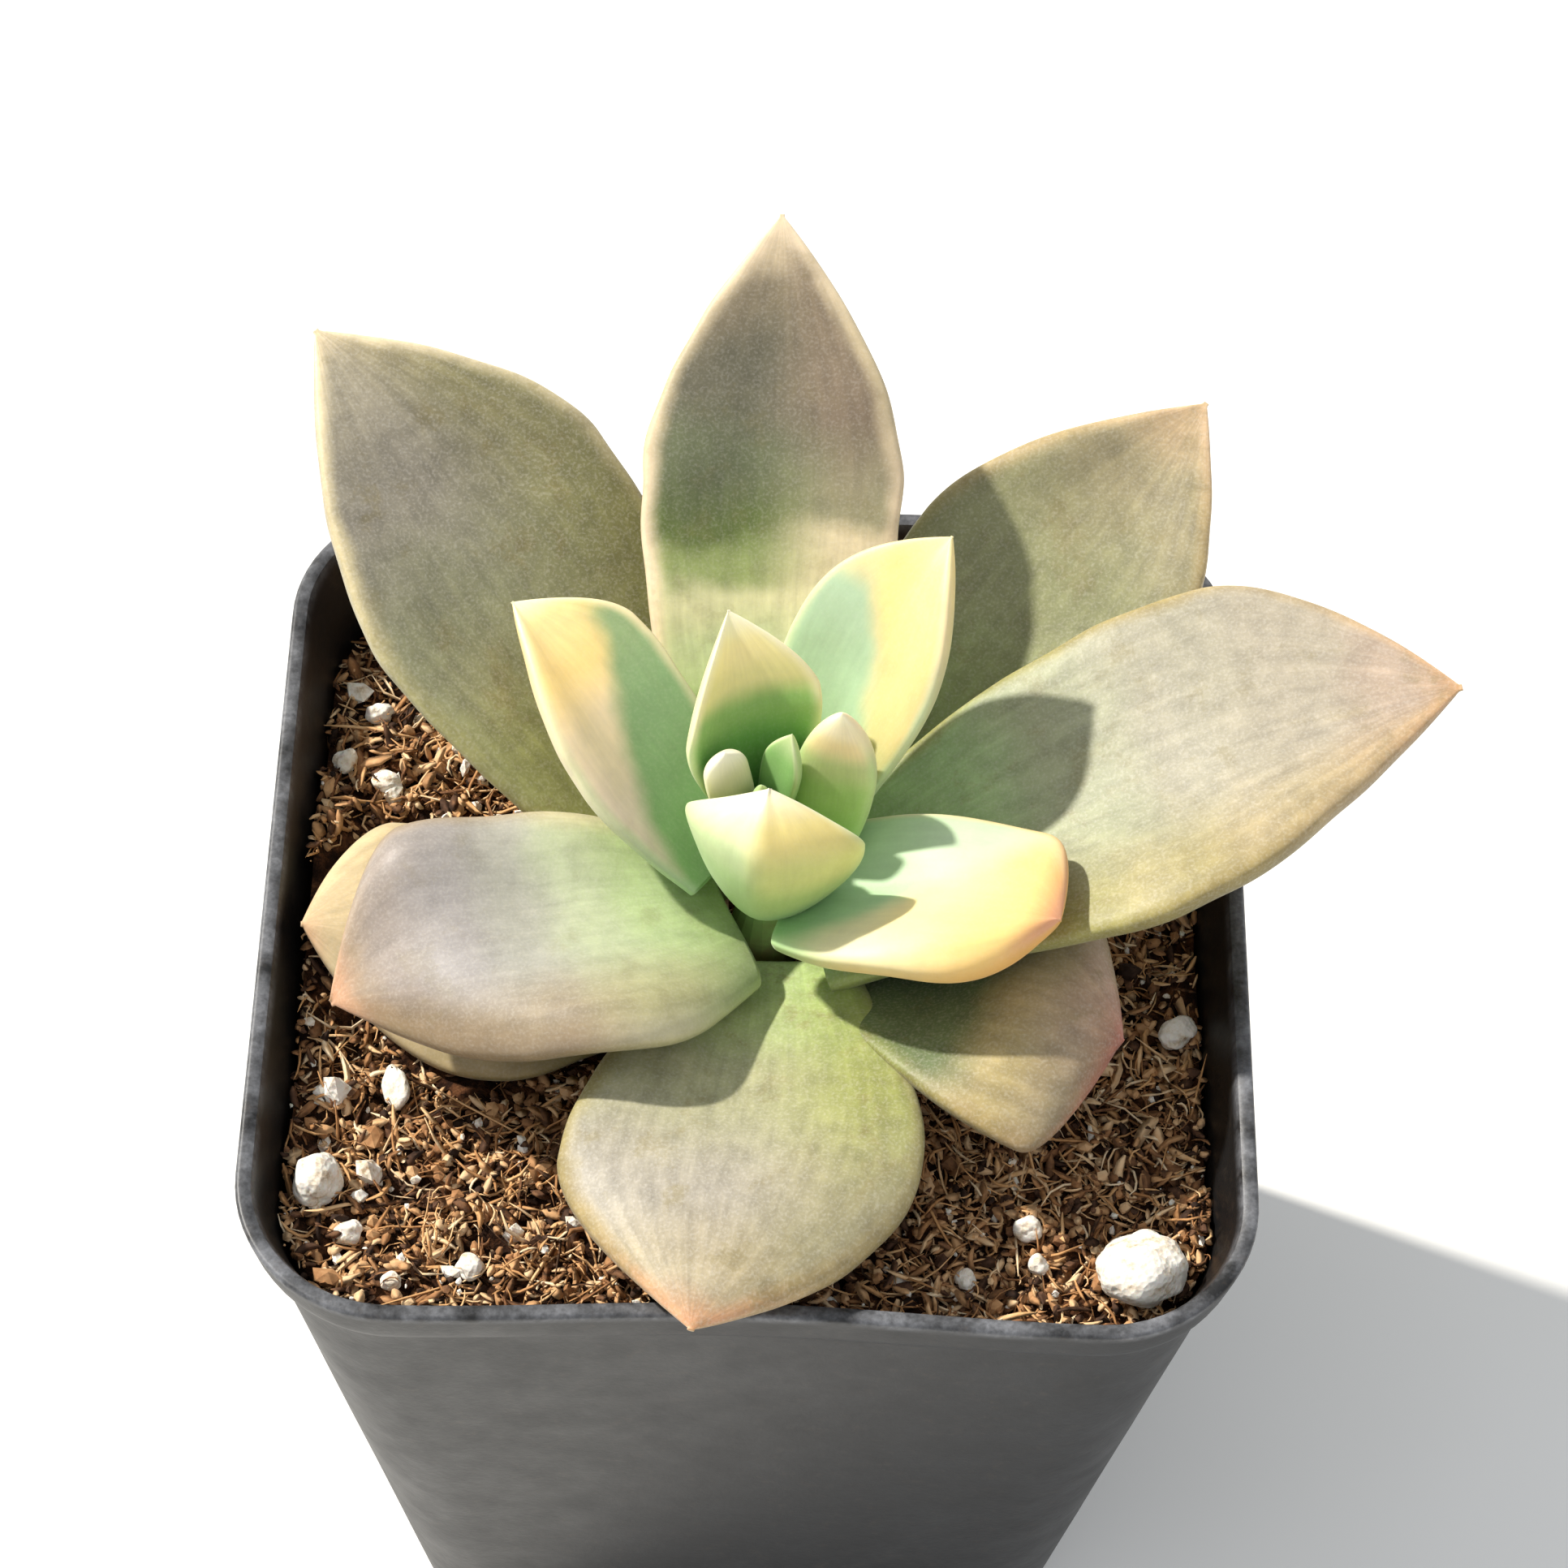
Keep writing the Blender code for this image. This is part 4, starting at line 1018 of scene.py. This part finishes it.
# %% Large grains
SUNK = 0.7 * MM      # how deep a grain sits in the loose mix
Grain = namedtuple("Grain", "name x y across along high turn")
GRAINS = [
    Grain("front_right_corner", 24.6, -25.6, 3.0, 2.8, 2.1, 15),
    Grain("front_right_upper", 17.7, -21.8, 1.0, 0.8, 0.8, 0),
    Grain("front_right_lower", 18.4, -24.4, 0.7, 0.7, 0.6, 40),
    Grain("front_middle", 13.8, -25.6, 0.7, 1.0, 0.7, 20),
    Grain("right_side", 27.7, -6.8, 1.3, 1.2, 1.0, 30),
    Grain("front_left_corner", -27.2, -20.2, 1.6, 2.0, 1.5, -10),
    Grain("front_left_inner", -25.2, -23.4, 1.0, 0.8, 0.8, 25),
    Grain("left_long", -22.9, -12.6, 0.9, 1.7, 0.9, 12),
    Grain("front_left_grey", -17.4, -25.6, 1.0, 1.0, 0.8, 0),
    Grain("front_left_small", -22.2, -27.0, 0.7, 0.6, 0.6, 0),
    Grain("back_left_near", -28.0, 12.6, 0.9, 0.9, 0.8, 35),
    Grain("back_left_inner", -25.2, 11.6, 1.0, 0.8, 0.7, -20),
    Grain("back_left_far", -26.0, 17.4, 1.0, 0.8, 0.8, 10),
]


def ball(level_count):
    """A sphere of near-even triangles: its points, shape (points, 3), and its faces."""
    build = bmesh.new()
    bmesh.ops.create_icosphere(build, subdivisions=level_count, radius=1.0)
    points = np.array([vertex.co for vertex in build.verts])
    faces = [[vertex.index for vertex in face.verts] for face in build.faces]
    build.free()
    return points, faces


def make_grain(grain, points, faces, number):
    """A puffed grain: a sphere times 1 + lumps - pits, scaled, turned and set on the mix."""
    low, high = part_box("perlite_" + grain.name)
    lumps = 0.26 * waves(points, 2.6, 40 + number) + 0.12 * waves(points, 1.1, 60 + number)
    pits = 0.05 * np.abs(waves(points, 0.35, 80 + number, 12))
    shape = points * (1 + lumps - pits)[:, None]
    shape = shape * np.array([grain.across, grain.along, grain.high]) * MM
    turn = math.radians(grain.turn)
    shape = shape @ np.array([[math.cos(turn), math.sin(turn), 0],
                              [-math.sin(turn), math.cos(turn), 0], [0, 0, 1]])
    size = shape.max(axis=0) - shape.min(axis=0)
    room = np.array(high - low)
    shape = (shape - shape.min(axis=0)) * (room / size) + np.array(low)
    shape[:, 2] -= SUNK
    return finish_object("perlite_" + grain.name + "_grain", shape, faces)


ball_points, ball_faces = ball(5)
grains = [make_grain(grain, ball_points, ball_faces, number)
          for number, grain in enumerate(GRAINS)]
print("large grains", len(grains), "triangles each", len(ball_faces))


# %% Crumbs
def make_crumbs(name, count, size, lift, seed):
    """Small angular lumps: a 12-point ball squashed at random, strewn over the mix."""
    dice = np.random.default_rng(seed)
    shape, faces = ball(1)
    centre = dice.uniform(-STREWN, STREWN, (count, 2)) * MM
    scale = size * MM * dice.gamma(2.2, 1 / 2.2, count)[:, None, None]
    rough = 1 + dice.uniform(-0.3, 0.3, (count, len(shape), 1))
    squash = dice.uniform(0.6, 1.3, (count, 1, 3))
    lumps = shape * rough * squash * scale
    height = mix_height(centre[:, 0], centre[:, 1]) + 0.6 * crumble(centre[:, 0], centre[:, 1])
    height = height + dice.uniform(lift[0], lift[1], count) * MM
    lumps = lumps + np.column_stack([centre, height])[:, None]
    lumps = lumps[has_room(lumps, 0.2 * MM)]
    start = (np.arange(len(lumps)) * len(shape))[:, None, None]
    all_faces = (np.array(faces) + start).reshape(-1, 3).tolist()
    piece = finish_object(name, lumps.reshape(-1, 3), all_faces, smooth=False)
    store(piece.data, "tone", np.repeat(dice.uniform(0, 1, len(lumps)), len(shape)))
    return piece


white_crumbs = make_crumbs("perlite_crumbs", 520, 0.27, (0.2, 0.9), 51)
brown_crumbs = make_crumbs("peat_crumbs", 2400, 0.26, (0.0, 0.8), 52)
print("crumbs", len(white_crumbs.data.polygons), len(brown_crumbs.data.polygons))


# %% Perlite white
def perlite():
    """Chalky white glass foam, stained cream and brown here and there."""
    material, tree, shader, place = new_material(
        "puffed_perlite", Roughness=0.8, Specular_IOR_Level=0.3, Subsurface_Weight=0.1,
        Subsurface_Scale=0.0006)
    foam = add(tree, "ShaderNodeTexVoronoi", {"feature": "F1"},
               {"Vector": place, "Scale": 2600.0}).outputs["Distance"]
    colour = ramp(tree, noise(tree, place, 900.0, 5.0, 0.7), "32 B59C7C, 42 E2D5C0, 52 F2ECE0, 70 F6F2E8",
                  "LINEAR")
    tree.links.new(colour, shader.inputs["Base Color"])
    relief(tree, shader, foam, 0.6, 0.00015)
    return material


white = perlite()
for grain, piece in zip(GRAINS, grains):
    piece.data.materials.append(white)
    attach(piece, "root")
    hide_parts("perlite_" + grain.name)
white_crumbs.data.materials.append(white)
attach(white_crumbs, "root")
brown_crumbs.data.materials.append(husk_chip)
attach(brown_crumbs, "root")
print("perlite finished")


# %% [markdown]
# ## The stem
# Little of the stem shows between the feet of the leaves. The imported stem's shape is right,
# so it stays and gets a better skin: green above, corky brown below.

# %% Stem skin
def stem_skin():
    """Green to corky brown by height, with a fine uneven grain."""
    material, tree, shader, place = new_material("corky_stem", Roughness=0.65)
    height = add(tree, "ShaderNodeSeparateXYZ", None, {0: place}).outputs["Z"]
    grain = noise(tree, place, 900.0, 5.0)
    tone = maths(tree, "MULTIPLY_ADD", grain, 0.5, map_range(tree, height, 0.055, 0.066))
    tree.links.new(ramp(tree, tone, "20 5B4630, 60 7F7A48, 100 86A85E"), shader.inputs["Base Color"])
    relief(tree, shader, grain, 0.4, 0.0002)
    return material


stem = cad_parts["stem"]
stem.data.materials.clear()
stem.data.materials.append(stem_skin())
print("stem finished")


# %% [markdown]
# ## Floor
# A plain pale floor, wide enough that its edge is never seen, with a faint grain.

# %% Floor
def floor_paint():
    """Pale matt paint with a slight change of tone every few centimetres."""
    material, tree, shader, place = new_material("pale_matt_floor", Roughness=0.9,
                                                 Specular_IOR_Level=0.2)
    colour = ramp(tree, noise(tree, place, 12.0, 3.0), "30 F1F0EC, 70 F7F6F3")
    tree.links.new(colour, shader.inputs["Base Color"])
    return material


SPAN = 4.0       # half the floor's width, in metres
floor_points = SPAN * np.array([[-1, -1, 0], [1, -1, 0], [1, 1, 0], [-1, 1, 0]])
floor = finish_object("floor", floor_points, [[0, 1, 2, 3]], smooth=False)
floor.data.materials.append(floor_paint())
print("floor", 2 * SPAN, "m wide")

# %% [markdown]
# ## Finish
# Last, the view layer is brought up to date.

# %% Finish
bpy.context.view_layer.update()
